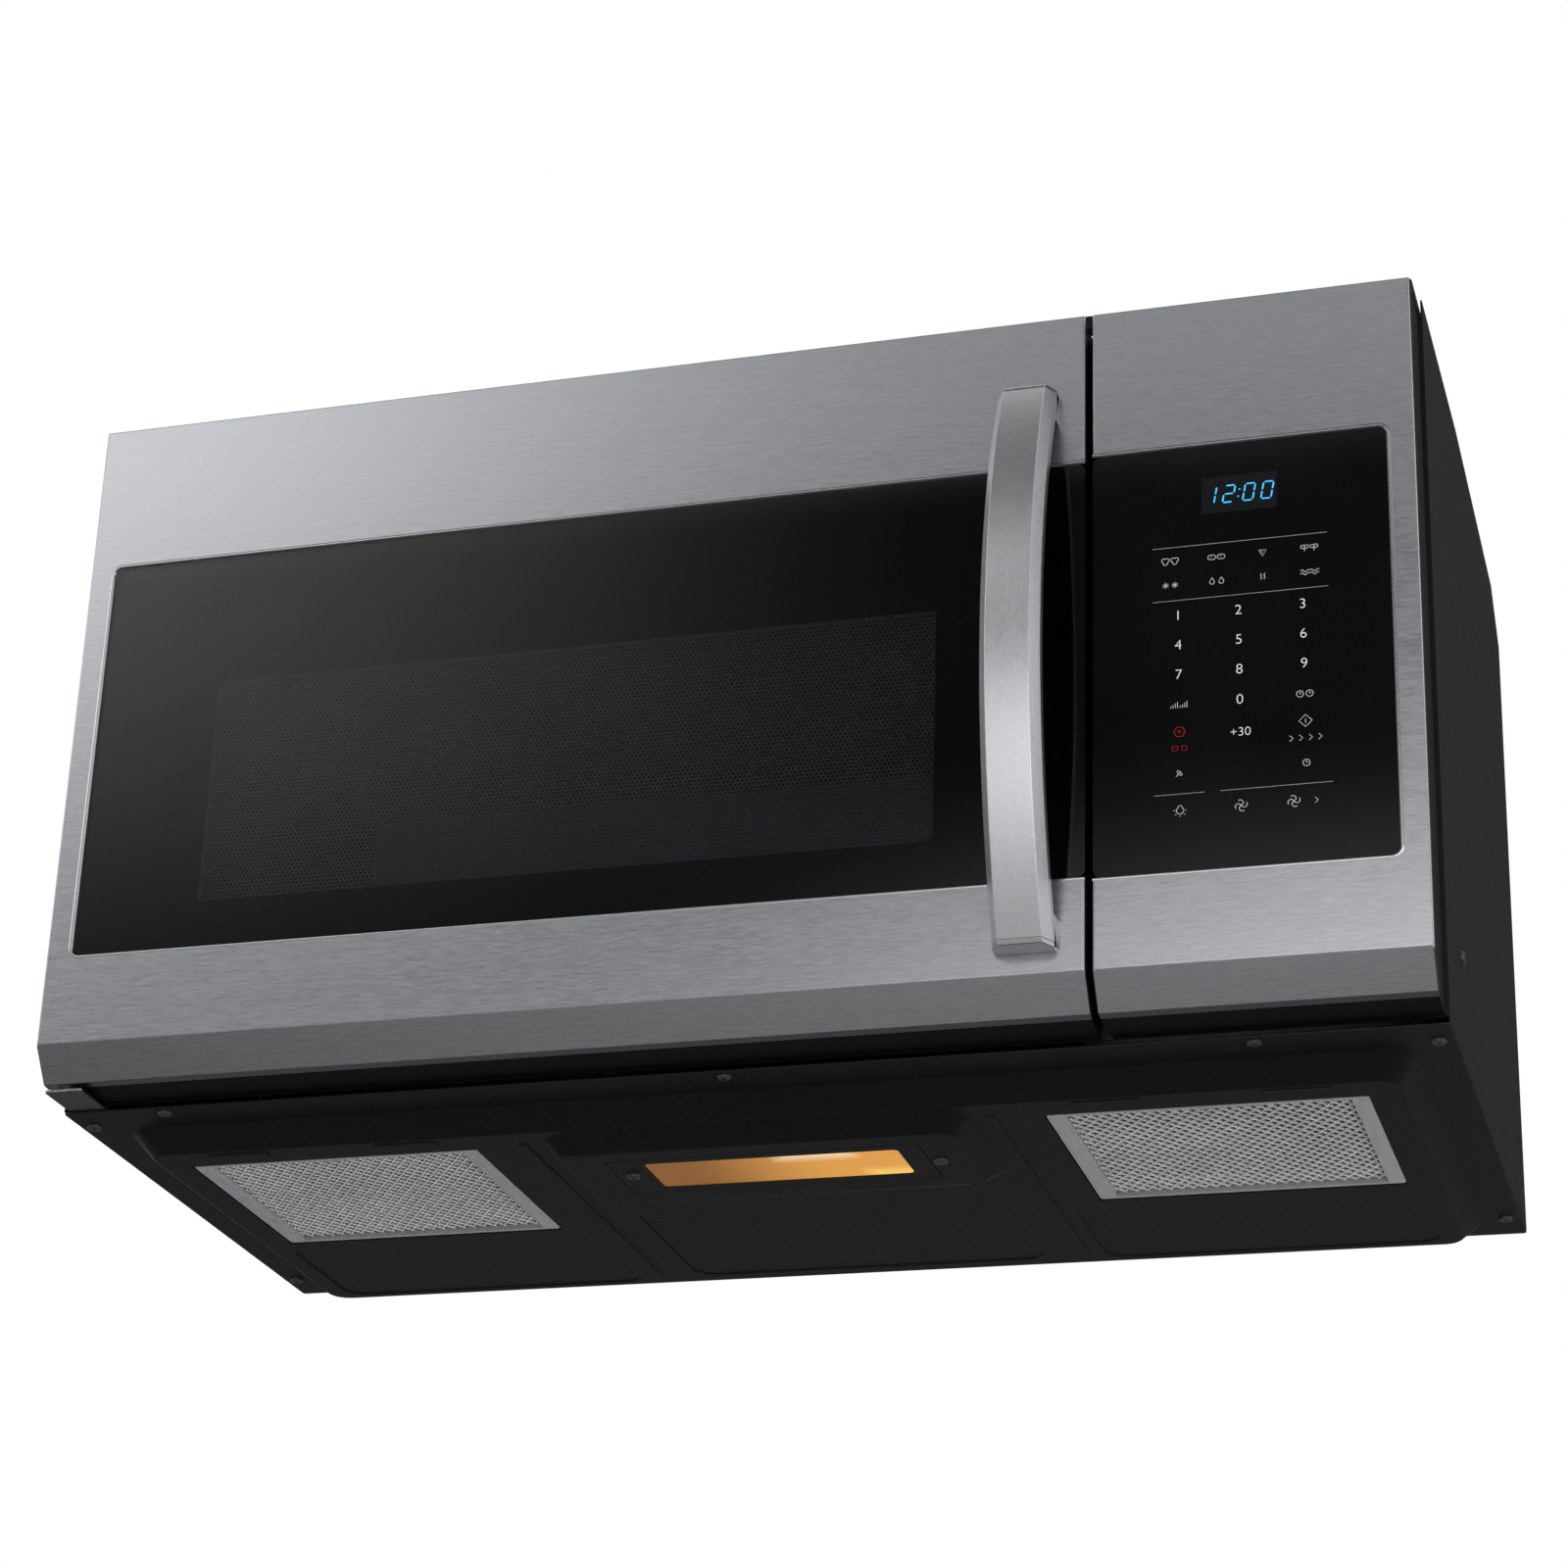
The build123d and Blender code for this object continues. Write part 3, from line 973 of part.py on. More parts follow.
def rear_panel():
    """Back sheet with hanging slots, pressed ribs and stepped-in edges that take the screw heads."""
    inner = SIDE_X - SHEET - 0.2
    low, high = PAN_T + 0.1, CASE_H - SHEET - 0.1
    outline = [(DEPTH - STEP_IN, low), (DEPTH - STEP_IN, STEP_H[0]), (DEPTH, STEP_H[0] + STEP_IN),
               (DEPTH, STEP_H[1] - STEP_IN), (DEPTH - STEP_IN, STEP_H[1]), (DEPTH - STEP_IN, high)]
    panel = profile_along_x(outline + [(d - SHEET, h) for d, h in reversed(outline)], (-inner, inner))
    corner = profile_along_x([(DEPTH - SHEET - STEP_IN - 1, FACET_H), (DEPTH + 1, FACET_H),
                              (DEPTH + 1, CASE_H + 1),
                              (DEPTH - SHEET - STEP_IN - 1, CASE_H + 1)], (inner - FACET_IN - 0.4, inner + 1))
    panel -= corner
    panel -= mirror(corner, about=Plane.YZ)
    for height in PANEL_RIB_H:
        for x in (-PANEL_RIB_X, PANEL_RIB_X):
            rib_x = (x - PANEL_RIB_L / 2, x + PANEL_RIB_L / 2)
            panel += slab((rib_x[0] - SHEET, rib_x[1] + SHEET), (DEPTH - SHEET - PANEL_RIB_IN, DEPTH - SHEET),
                          (height - PANEL_RIB_W / 2 - SHEET, height + PANEL_RIB_W / 2 + SHEET))
            panel -= slab(rib_x, (DEPTH - PANEL_RIB_IN, DEPTH + 1),
                          (height - PANEL_RIB_W / 2, height + PANEL_RIB_W / 2))
    for x in (-HANG_SLOT_X, HANG_SLOT_X):
        plane = Plane(origin=(x, back(DEPTH - SHEET - 1), up(HANG_SLOT_H)), x_dir=(1, 0, 0), z_dir=(0, 1, 0))
        panel -= extrude(plane * SlotOverall(HANG_SLOT_W, HANG_SLOT_TALL), SHEET + 2)
    for x, height in REAR_SCREWS:
        panel -= screw_hole((x, back(DEPTH + 1), up(height)), (0, -1, 0), STEP_IN + SHEET + 2)
    return panel


def vent_grille():
    """Louvred air outlet above the door."""
    half = SIDE_X - 2.5
    body = floor_plate((-half, half), GRILLE_D, GRILLE_H, 3)
    body -= slab((-half + 2, half - 2), (GRILLE_D[0] + 2, GRILLE_D[1] - 2),
                 (GRILLE_H[0] - 1, GRILLE_H[1] - 2.2))
    pitch = (2 * half - 20) / SLOT_COUNT
    for k in range(SLOT_COUNT):
        x = -half + 10 + pitch * (k + 0.5)
        for d in (GRILLE_D[0] + 10, GRILLE_D[0] + 21):
            body -= slab((x - pitch / 2 + 4, x + pitch / 2 - 4), (d - 3.5, d + 3.5),
                         (GRILLE_H[1] - 4, GRILLE_H[1] + 1))
    body += slab((-half + 30, half - 30), (FRONT_FRAME_DEPTH + SHEET + 0.1, FRONT_FRAME_DEPTH + SHEET + 2.1),
                 (FACE_TOP - 6, GRILLE_H[1] - 1))
    return body


def charcoal_filter():
    """Framed charcoal bed in front of the blower outlets."""
    x = (SCROLL_X[0][0] - 8, SCROLL_X[1][1] + 8)
    h = (CAVITY_H[1] + SHEET + 0.2, CASE_H - SHEET - 2)
    d = (GRILLE_D[1] + 14, GRILLE_D[1] + 30)
    bed = slab(x, d, h)
    for k in range(4):
        width = (span(x) - 25) / 4
        left = x[0] + 5 + k * (width + 5)
        for face in ((d[0] - 1, d[0] + 2.5), (d[1] - 2.5, d[1] + 1)):
            bed -= slab((left, left + width), face, (h[0] + 6, h[1] - 6))
    return bed


# ------------------------------------------------------------ base pan, filters and lamp

PLATFORM_H = -PAN_DROP
BOSS_H = -PAN_DROP - BOSS_DROP
HALF_WALL = PAN_T / 2


def filter_opening(side):
    x = side * FILTER_X
    return (x - FILTER_W / 2, x + FILTER_W / 2), (FILTER_D - FILTER_L / 2, FILTER_D + FILTER_L / 2)


def label_fields():
    sides = [(LABEL_SIDE_X, LABEL_SIDE_D), ((-LABEL_SIDE_X[1], -LABEL_SIDE_X[0]), LABEL_SIDE_D)]
    return sides + [((-LABEL_MID_X, LABEL_MID_X), LABEL_MID_D)]


def base_pan():
    """Pressed underside: stepped platform, lamp boss, filter openings and bare label fields."""
    rim = floor_plate((-SIDE_X, SIDE_X), (FRONT_DEPTH, DEPTH), (0, PAN_T), 2)
    plat_x = (-PLATFORM_X, PLATFORM_X)
    outer = tapered(plat_x, PLATFORM_D, 0, PAN_DROP, PLATFORM_SLOPE_X, PLATFORM_SLOPE_D, PLATFORM_R)
    lower_edges = outer.faces().sort_by(Axis.Z)[0].edges()
    outer = fillet(lower_edges, 3.0)
    cut_x = (plat_x[0] + HALF_WALL, plat_x[1] - HALF_WALL)
    cut_d = (PLATFORM_D[0] + HALF_WALL, PLATFORM_D[1] - HALF_WALL)
    inner = tapered(cut_x, cut_d, PAN_T, PAN_DROP, PLATFORM_SLOPE_X, PLATFORM_SLOPE_D, PLATFORM_R)
    pan = rim + outer - inner
    boss_x = (-BOSS_X, BOSS_X)
    boss = tapered(boss_x, BOSS_D, PLATFORM_H, BOSS_DROP, BOSS_SLOPE_X, BOSS_SLOPE_D, 14)
    boss = fillet(boss.faces().sort_by(Axis.Z)[0].edges(), 2.5)
    hollow = tapered((boss_x[0] + HALF_WALL, boss_x[1] - HALF_WALL),
                     (BOSS_D[0] + HALF_WALL, BOSS_D[1] - HALF_WALL),
                     PLATFORM_H + PAN_T, BOSS_DROP, BOSS_SLOPE_X, BOSS_SLOPE_D, 14)
    pan = pan + boss - hollow
    for x, d in label_fields():
        pan += slab((x[0] - PAN_T, x[1] + PAN_T), (d[0] - PAN_T, d[1] + PAN_T),
                    (PLATFORM_H + PAN_T - 0.1, PLATFORM_H + PAN_T + LABEL_STEP))
        pan -= floor_plate(x, d, (PLATFORM_H - 1, PLATFORM_H + LABEL_STEP), LABEL_R)
    for side in (-1, 1):
        x, d = filter_opening(side)
        pan -= slab(x, d, (PLATFORM_H - 1, PLATFORM_H + PAN_T + 1))
        groove = (side * GROOVE_X - GROOVE_W / 2, side * GROOVE_X + GROOVE_W / 2)
        groove_d = (PLATFORM_D[0] + 30, LABEL_MID_D[1] - 4)
        pan += slab(groove, groove_d, (PLATFORM_H - 0.8, PLATFORM_H + 0.1))
        for rib in RIB_X:
            rib_x = (side * rib - RIB_L / 2, side * rib + RIB_L / 2)
            pan += slab(rib_x, (RIB_D - RIB_W / 2, RIB_D + RIB_W / 2), (PLATFORM_H - 1.0, PLATFORM_H + 0.1))
    pan -= slab((LAMP_X[0] - COVER_GAP, LAMP_X[1] + COVER_GAP), (LAMP_D[0] - COVER_GAP, LAMP_D[1] + COVER_GAP),
                (BOSS_H - 1, BOSS_H + PAN_T + 1))
    for x, d in RIM_SCREWS:
        if abs(x) < PLATFORM_X:
            pan += prism((x, back(d), up(PAN_T - 0.1)), (0, 0, 1), DIMPLE_R, DIMPLE_RISE + 0.1, 12)
            pan -= prism((x, back(d), up(DIMPLE_RISE)), (0, 0, -1), DIMPLE_R - 1, DIMPLE_RISE + 1, 12)
        pan -= screw_hole((x, back(d), up(-1)), (0, 0, 1), 5)
    pan -= screw_hole((LAMP_SCREW[0], back(LAMP_SCREW[1]), up(BOSS_H - 1)), (0, 0, 1), 5)
    return pan


LAMP_SCREW = (94.0, 147.0)
COVER_SCREW = (-79.0, 143.0)
REFLECTOR_X = (-73.0, 84.0)
REFLECTOR_D = (122.5, 171.5)
REFLECTOR_H = (BOSS_H + PAN_T, 26.0)
REFLECTOR_T = 0.8
REFLECTOR_FLANGE_X = (LAMP_X[0] - 11, LAMP_X[1] + 15)
REFLECTOR_FLANGE_D = (LAMP_D[0] - 9, LAMP_D[1] + 10)


def filter_frame(side):
    """Aluminium frame with a rear tongue that hooks over the pan."""
    x, d = filter_opening(side)
    x = (x[0] + FILTER_GAP, x[1] - FILTER_GAP)
    d = (d[0] + 1.0, d[1] - 2.0)
    h = (PLATFORM_H + 0.2, PLATFORM_H + 0.2 + FILTER_T)
    frame = floor_plate(x, d, h, 2)
    frame -= slab((x[0] + FILTER_SIDE, x[1] - FILTER_SIDE), (d[0] + FILTER_END, d[1] - FILTER_END),
                  (h[0] - 1, h[1] + 1))
    tongue_h = PLATFORM_H + PAN_T + CLEAR
    frame += slab((x[0] + 12, x[1] - 12), (d[1] - 1, filter_opening(side)[1][1] + FILTER_TONGUE),
                  (tongue_h, tongue_h + TONGUE_T))
    tab = tube((middle(x), back(d[0] + 0.5), up(h[0] + 0.6)), (0, 0, 1), 7, 5, 1.2)
    tab &= slab((middle(x) - 8, middle(x) + 8), (d[0] + 1.0, d[0] + 9), (h[0], h[0] + 3))
    return frame + tab


def filter_mesh(side):
    x, d = filter_opening(side)
    x = (x[0] + FILTER_GAP + FILTER_SIDE, x[1] - FILTER_GAP - FILTER_SIDE)
    d = (d[0] + 1.0 + FILTER_END, d[1] - 2.0 - FILTER_END)
    low = PLATFORM_H + 0.2 + 2.0
    return slab(x, d, (low, low + MESH_T))


def lamp_reflector():
    """Bright box over the lamp opening, with a flange on the boss."""
    flange_h = (BOSS_H + PAN_T, BOSS_H + PAN_T + REFLECTOR_T)
    box = slab(REFLECTOR_X, REFLECTOR_D, REFLECTOR_H) + slab(REFLECTOR_FLANGE_X, REFLECTOR_FLANGE_D, flange_h)
    t = REFLECTOR_T
    box -= slab((REFLECTOR_X[0] + t, REFLECTOR_X[1] - t), (REFLECTOR_D[0] + t, REFLECTOR_D[1] - t),
                (REFLECTOR_H[0] - 1, REFLECTOR_H[1] - t))
    box -= rod((REFLECTOR_X[1] - 2, back(middle(LENS_D)), up(3)), (1, 0, 0), 13.3, 4)
    for x, d in (LAMP_SCREW, COVER_SCREW):
        box -= screw_hole((x, back(d), up(BOSS_H)), (0, 0, 1), 6)
    return box


def lamp_bulb():
    """Screw-base bulb lying in the reflector."""
    centre = (back(middle(LENS_D)), up(3))
    right = REFLECTOR_X[1]
    corners = [(right - 64, 0), (right - 60, 12), (right - 48, 16), (right - 34, 9), (right - 20, 9),
               (right - 20, 13.1), (right + 6, 13.1), (right + 6, 0)]
    plane = Plane(origin=(0, *centre), x_dir=(1, 0, 0), z_dir=(0, -1, 0))
    return revolve(plane * make_face(Polyline(*corners, close=True)), Axis((0, *centre), (1, 0, 0)))


def lamp_lens():
    low = BOSS_H + PAN_T
    lens = floor_plate((LENS_X[0] - 2.5, LENS_X[1] + 2.5), (LENS_D[0] - 2.5, LENS_D[1] + 2.5),
                       (low, low + LENS_T), 2)
    return lens + floor_plate((LENS_X[0] + 0.15, LENS_X[1] - 0.15), (LENS_D[0] + 0.15, LENS_D[1] - 0.15),
                              (low - 0.8, low), 3)


def lamp_cover():
    cover = floor_plate(LAMP_X, LAMP_D, (BOSS_H, BOSS_H + PAN_T), 2)
    cover -= floor_plate(LENS_X, LENS_D, (BOSS_H - 1, BOSS_H + PAN_T + 1), 3)
    cover -= screw_hole((COVER_SCREW[0], back(COVER_SCREW[1]), up(BOSS_H - 1)), (0, 0, 1), 5)
    return cover


# ------------------------------------------------------------ latch side, hinges and fasteners

BRACKET_X = (LATCH_X - 14, LATCH_X + 14)
BRACKET_T = 15.7
BRACKET_D = (FRONT_FRAME_DEPTH + SHEET + 0.1, FRONT_FRAME_DEPTH + SHEET + 0.1 + BRACKET_T)
POCKET_FLOOR = 2.5
POCKET_H = (-14.0, 16.0)          # below and above each latch height
SWITCH_DOWN = 10.0


def interlock_bracket():
    """Plastic bracket with a pocket for each latch hook."""
    block = slab(BRACKET_X, BRACKET_D, (LATCH_HEIGHTS[0] - 26, LATCH_HEIGHTS[1] + 26))
    for height in LATCH_HEIGHTS:
        block -= slab((LATCH_X - 5, LATCH_X + 5), (BRACKET_D[0] - 1, BRACKET_D[1] - POCKET_FLOOR),
                      (height + POCKET_H[0], height + POCKET_H[1]))
    block -= slab((BRACKET_X[0] + 3, BRACKET_X[1] - 3), (BRACKET_D[0] - 1, BRACKET_D[1] - 3),
                  (LATCH_HEIGHTS[0] + 24, LATCH_HEIGHTS[1] - 24))
    return block


def interlock_switches():
    switches = []
    for height in (LATCH_HEIGHTS[0], middle(LATCH_HEIGHTS), LATCH_HEIGHTS[1]):
        low = height - SWITCH_DOWN
        body = slab((LATCH_X - 5, LATCH_X + 5), (BRACKET_D[1], BRACKET_D[1] + 16), (low, low + 28))
        for spade in (low + 4, low + 14, low + 24):
            body += slab((LATCH_X - 0.4, LATCH_X + 0.4), (BRACKET_D[1] + 15, BRACKET_D[1] + 22),
                         (spade - 2, spade + 2))
        switches.append(body)
    return switches


HINGE_PLATE_X = (HINGE_X - 8, HINGE_X + 14)
HINGE_FLANGE_D = (FRONT_FRAME_DEPTH + SHEET + 0.1, FRONT_FRAME_DEPTH + SHEET + 1.9)
HINGE_LOW = PAN_T + 0.1
HINGE_HIGH = FACE_TOP + 1.2


def hinge(plate_h, flange_h):
    """Hinge plate with an upright flange behind the front frame."""
    plate = floor_plate(HINGE_PLATE_X, (HINGE_DEPTH - 10, HINGE_FLANGE_D[1]), plate_h, 1.5)
    plate += slab(HINGE_PLATE_X, HINGE_FLANGE_D, flange_h)
    return plate - rod((HINGE_X, back(HINGE_DEPTH), up(plate_h[0] - 1)), (0, 0, 1), HINGE_PIN_R,
                       HINGE_PLATE_T + 2)


def hinge_lower():
    return hinge((HINGE_LOW, HINGE_LOW + HINGE_PLATE_T), (HINGE_LOW, HINGE_LOW + 40))


def hinge_upper():
    return hinge((HINGE_HIGH, HINGE_HIGH + HINGE_PLATE_T), (HINGE_HIGH - 36, HINGE_HIGH + HINGE_PLATE_T))


def hinge_pins():
    lower = rod((HINGE_X, back(HINGE_DEPTH), up(HINGE_LOW)), (0, 0, 1), HINGE_PIN_R, PIN_REACH)
    upper = rod((HINGE_X, back(HINGE_DEPTH), up(HINGE_HIGH + HINGE_PLATE_T)), (0, 0, -1), HINGE_PIN_R,
                PIN_REACH)
    return [lower, upper]


def base_screws():
    screws = []
    for x, d in RIM_SCREWS:
        seat = DIMPLE_RISE if abs(x) < PLATFORM_X else 0.0
        screws.append(screw((x, back(d), up(seat)), (0, 0, -1), 2.6))
    for x, d in (LAMP_SCREW, COVER_SCREW):
        screws.append(screw((x, back(d), up(BOSS_H)), (0, 0, -1), 5))
    return screws


def case_screws():
    screws = []
    for side in (-1, 1):
        screws.append(screw((side * SIDE_X, back(SIDE_SCREW[0]), up(SIDE_SCREW[1])), (side, 0, 0), 3))
    for x, height in REAR_SCREWS:
        screws.append(screw((x, back(DEPTH - STEP_IN), up(height)), (0, 1, 0), 2.5))
    return screws


# ------------------------------------------------------------ write the parts

def write(name, shape):
    """Write one node; a list becomes a group of separate solids."""
    if isinstance(shape, (list, tuple)):
        shape = Compound(children=list(shape))
    export_step(shape, "parts/" + name + ".step")
    print(name)


def main():
    os.makedirs("parts", exist_ok=True)
    bar, caps, handle_screws = handle()
    nodes = {
        "oven_cavity": oven_cavity(), "component_shelf": component_shelf(), "case_top": case_top(),
        "case_side_left": case_side_left(), "case_side_right": case_side_right(), "rear_panel": rear_panel(),
        "base_pan": base_pan(), "vent_grille": vent_grille(), "charcoal_filter": charcoal_filter(),
        "case_screws": case_screws(), "base_screws": base_screws(),
        "control_skin": front_skin(PANEL_X, PANEL_GLASS_X, PANEL_GLASS_H), "control_frame": control_frame(),
        "control_glass": front_glass((PANEL_X[0], PANEL_GLASS_RIGHT - GLASS_GAP),
                                     (PANEL_GLASS_H[0] + GLASS_GAP, PANEL_GLASS_H[1] - GLASS_GAP)),
        "display_module": display_module(), "control_board": control_board(),
        "interlock_bracket": interlock_bracket(), "interlock_switches": interlock_switches(),
        "magnetron": magnetron(), "waveguide": waveguide(), "mica_cover": mica_cover(),
        "hv_transformer": transformer(), "hv_capacitor": capacitor(), "fan_shroud": fan_shroud(),
        "fan_motor": fan_motor(), "fan_blades": fan_blades(), "cavity_lamp": cavity_lamp(),
        "turntable_motor": turntable_motor(), "turntable_coupler": turntable_coupler(), "glass_tray": glass_tray(),
        "roller_ring": roller_ring(), "roller_1": roller(0), "roller_2": roller(1), "roller_3": roller(2),
        "blower_housing": blower_housing(), "blower_motor": blower_motor(), "blower_shaft": blower_shaft(),
        "blower_wheels": blower_wheels(), "lamp_reflector": lamp_reflector(), "lamp_bulb": lamp_bulb(),
        "lamp_lens": lamp_lens(), "lamp_cover": lamp_cover(),
        "filter_frame_left": filter_frame(-1), "filter_mesh_left": filter_mesh(-1),
        "filter_frame_right": filter_frame(1), "filter_mesh_right": filter_mesh(1),
        "hinge_lower": hinge_lower(), "hinge_upper": hinge_upper(), "hinge_pins": hinge_pins(),
        "door_skin": door_skin(), "door_frame": door_frame(),
        "door_glass": front_glass((DOOR_GLASS_LEFT + GLASS_GAP, DOOR_X[1]),
                                  (DOOR_GLASS_H[0] + GLASS_GAP, DOOR_GLASS_H[1] - GLASS_GAP)),
        "door_choke": door_choke(), "door_screen": door_screen(), "door_inner_cover": door_inner_cover(),
        "handle_bar": bar, "handle_caps": caps, "handle_screws": handle_screws,
        "latch_hooks": latch(), "latch_spring": latch_spring(),
    }
    for name, shape in nodes.items():
        write(name, shape)


main()
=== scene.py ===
"""Looks of the over-the-range microwave oven: finishes, key marks, fasteners, filter mesh, lamp, studio.

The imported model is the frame. Its pieces keep their places; this script softens the sheet-metal edges,
adds the pieces that are too fine for the solids and gives every surface its finish. Lengths in the
dataclasses are millimetres: x to the right, depth behind the steel front face, height above the base rim.
"""
import json
import logging
import math
from dataclasses import dataclass
from enum import Enum
from typing import Callable, Sequence

import bpy
from mathutils import Matrix, Vector

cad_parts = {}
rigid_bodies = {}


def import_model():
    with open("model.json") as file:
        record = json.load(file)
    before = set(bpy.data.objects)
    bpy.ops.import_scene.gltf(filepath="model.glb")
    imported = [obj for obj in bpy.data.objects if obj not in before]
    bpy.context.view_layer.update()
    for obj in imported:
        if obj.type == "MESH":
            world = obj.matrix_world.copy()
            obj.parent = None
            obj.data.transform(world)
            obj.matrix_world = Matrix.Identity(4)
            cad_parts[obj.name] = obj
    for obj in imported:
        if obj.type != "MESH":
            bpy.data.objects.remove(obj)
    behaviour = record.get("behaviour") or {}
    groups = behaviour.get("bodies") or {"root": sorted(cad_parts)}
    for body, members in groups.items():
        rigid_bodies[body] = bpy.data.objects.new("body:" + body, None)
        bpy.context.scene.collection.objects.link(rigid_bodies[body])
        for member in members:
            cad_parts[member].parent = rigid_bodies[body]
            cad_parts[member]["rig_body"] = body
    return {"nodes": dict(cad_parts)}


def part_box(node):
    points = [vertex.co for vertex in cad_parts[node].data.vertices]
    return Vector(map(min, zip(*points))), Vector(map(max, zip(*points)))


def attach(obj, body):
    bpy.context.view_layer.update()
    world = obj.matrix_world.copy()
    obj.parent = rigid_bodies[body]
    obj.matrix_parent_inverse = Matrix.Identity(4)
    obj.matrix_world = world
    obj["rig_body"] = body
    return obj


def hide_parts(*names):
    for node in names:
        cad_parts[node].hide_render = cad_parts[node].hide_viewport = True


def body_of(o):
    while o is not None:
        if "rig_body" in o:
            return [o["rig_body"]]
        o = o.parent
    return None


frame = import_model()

LOG = logging.getLogger("microwave")
MM = 0.001
FRONT_TO_WALL = 391.0
HALF_HEIGHT = 208.75
HALF_WIDTH = 379.5
UP = Vector((0, 0, 1))

Pair = tuple[float, float]
Point = tuple[float, float, float]
Colour = tuple[float, float, float, float]
Test = Callable[[Vector, Vector], bool]


def at(x: float, depth: float, height: float) -> Vector:
    """Turns a place on the appliance into scene metres.

    Args:
        x: Millimetres to the right of the middle.
        depth: Millimetres behind the steel front face.
        height: Millimetres above the rim of the base.

    Returns:
        The point in the shared frame.
    """
    return Vector((x, depth - FRONT_TO_WALL, height - HALF_HEIGHT)) * MM


def linear(code: str, share: float = 1.0) -> Colour:
    """Turns a screen colour into the linear colour a shader takes.

    Args:
        code: The colour as "#a0a0a2".
        share: Share of its brightness that is kept.

    Returns:
        Red, green, blue and alpha.
    """
    parts = [int(code[i:i + 2], 16) / 255 for i in (1, 3, 5)]
    red, green, blue = (share * (c / 12.92 if c <= 0.04045 else ((c + 0.055) / 1.055) ** 2.4) for c in parts)
    return red, green, blue, 1.0


# ---------------------------------------------------------------- bench work

# Degrees between faces that shade as one, degrees between faces that are merged, and metres between
# points that are one.
SMOOTH_BELOW = 32
FLAT_BELOW = 0.4
SAME_POINT = 1e-6


def rest() -> None:
    """Leaves edit mode and deselects everything."""
    if bpy.context.object is not None and bpy.context.object.mode != "OBJECT":
        bpy.ops.object.mode_set(mode="OBJECT")
    bpy.ops.object.select_all(action="DESELECT")


def hold(piece: bpy.types.Object) -> None:
    """Makes one piece the only selected and active object.

    Args:
        piece: The piece.
    """
    rest()
    piece.select_set(True)
    bpy.context.view_layer.objects.active = piece


def settle(piece: bpy.types.Object) -> None:
    """Moves a piece's place into its mesh, so that its object sits at the origin."""
    hold(piece)
    bpy.ops.object.transform_apply(location=True, rotation=True, scale=True)


def block(name: str, low: Vector, high: Vector) -> bpy.types.Object:
    """Starts a piece as a cube between two corners.

    Args:
        name: Name of the piece.
        low: Lowest corner, in metres.
        high: Highest corner, in metres.

    Returns:
        The new object, at the origin.
    """
    rest()
    bpy.ops.mesh.primitive_cube_add(size=1.0, location=(low + high) / 2)
    piece = bpy.context.object
    piece.name = name
    piece.scale = high - low
    settle(piece)
    return piece


def drum(name: str, base: Vector, axis: Vector, radius: float, height: float, sides: int) -> bpy.types.Object:
    """Starts a piece as a cylinder that stands on base.

    Args:
        name: Name of the piece.
        base: Middle of the foot, in metres.
        axis: Direction from foot to top.
        radius: Radius in metres.
        height: Height in metres.
        sides: Number of sides.

    Returns:
        The new object, at the origin.
    """
    rest()
    turn = UP.rotation_difference(axis).to_euler()
    bpy.ops.mesh.primitive_cylinder_add(vertices=sides, radius=radius, depth=height,
                                        location=base + axis.normalized() * height / 2, rotation=turn)
    piece = bpy.context.object
    piece.name = name
    settle(piece)
    return piece


def rounded_sheet(name: str, low: Vector, high: Vector, radius: float, segments: int) -> bpy.types.Object:
    """Starts a piece as an upright rectangle with rounded corners and leaves it open in edit mode.

    Args:
        name: Name of the piece.
        low: Lowest corner, in metres.
        high: Highest corner, in metres.
        radius: Corner radius in millimetres.
        segments: Faces round each corner.

    Returns:
        The new object, at the origin, with all of it selected.
    """
    rest()
    bpy.ops.mesh.primitive_plane_add(size=1.0, location=(low + high) / 2, rotation=(math.pi / 2, 0, 0))
    sheet = bpy.context.object
    sheet.name = name
    sheet.scale = (high.x - low.x, high.z - low.z, 1)
    settle(sheet)
    bpy.ops.object.mode_set(mode="EDIT")
    bpy.ops.mesh.select_mode(type="VERT")
    bpy.ops.mesh.select_all(action="SELECT")
    bpy.ops.mesh.bevel(offset=radius * MM, segments=segments, affect="VERTICES")
    return sheet


def pick_faces(piece: bpy.types.Object, test: Test) -> None:
    """Opens a piece in edit mode with some of its faces selected.

    Args:
        piece: The piece.
        test: Says of a face's centre and normal whether it is selected.
    """
    hold(piece)
    bpy.ops.object.mode_set(mode="EDIT")
    bpy.ops.mesh.select_mode(type="FACE")
    bpy.ops.mesh.select_all(action="DESELECT")
    bpy.ops.object.mode_set(mode="OBJECT")
    for face in piece.data.polygons:
        face.select = test(face.center, face.normal)
    bpy.ops.object.mode_set(mode="EDIT")


def finish_modifier(piece: bpy.types.Object, name: str) -> None:
    """Applies one modifier of a piece."""
    hold(piece)
    bpy.ops.object.modifier_apply(modifier=name)


def cut_away(piece: bpy.types.Object, cutter: bpy.types.Object) -> None:
    """Cuts one piece's form out of another and removes the cutter.

    Args:
        piece: The piece that is cut.
        cutter: The form that is cut away.
    """
    cut = piece.modifiers.new("cut", "BOOLEAN")
    cut.operation = "DIFFERENCE"
    cut.object = cutter
    finish_modifier(piece, "cut")
    drop(cutter)


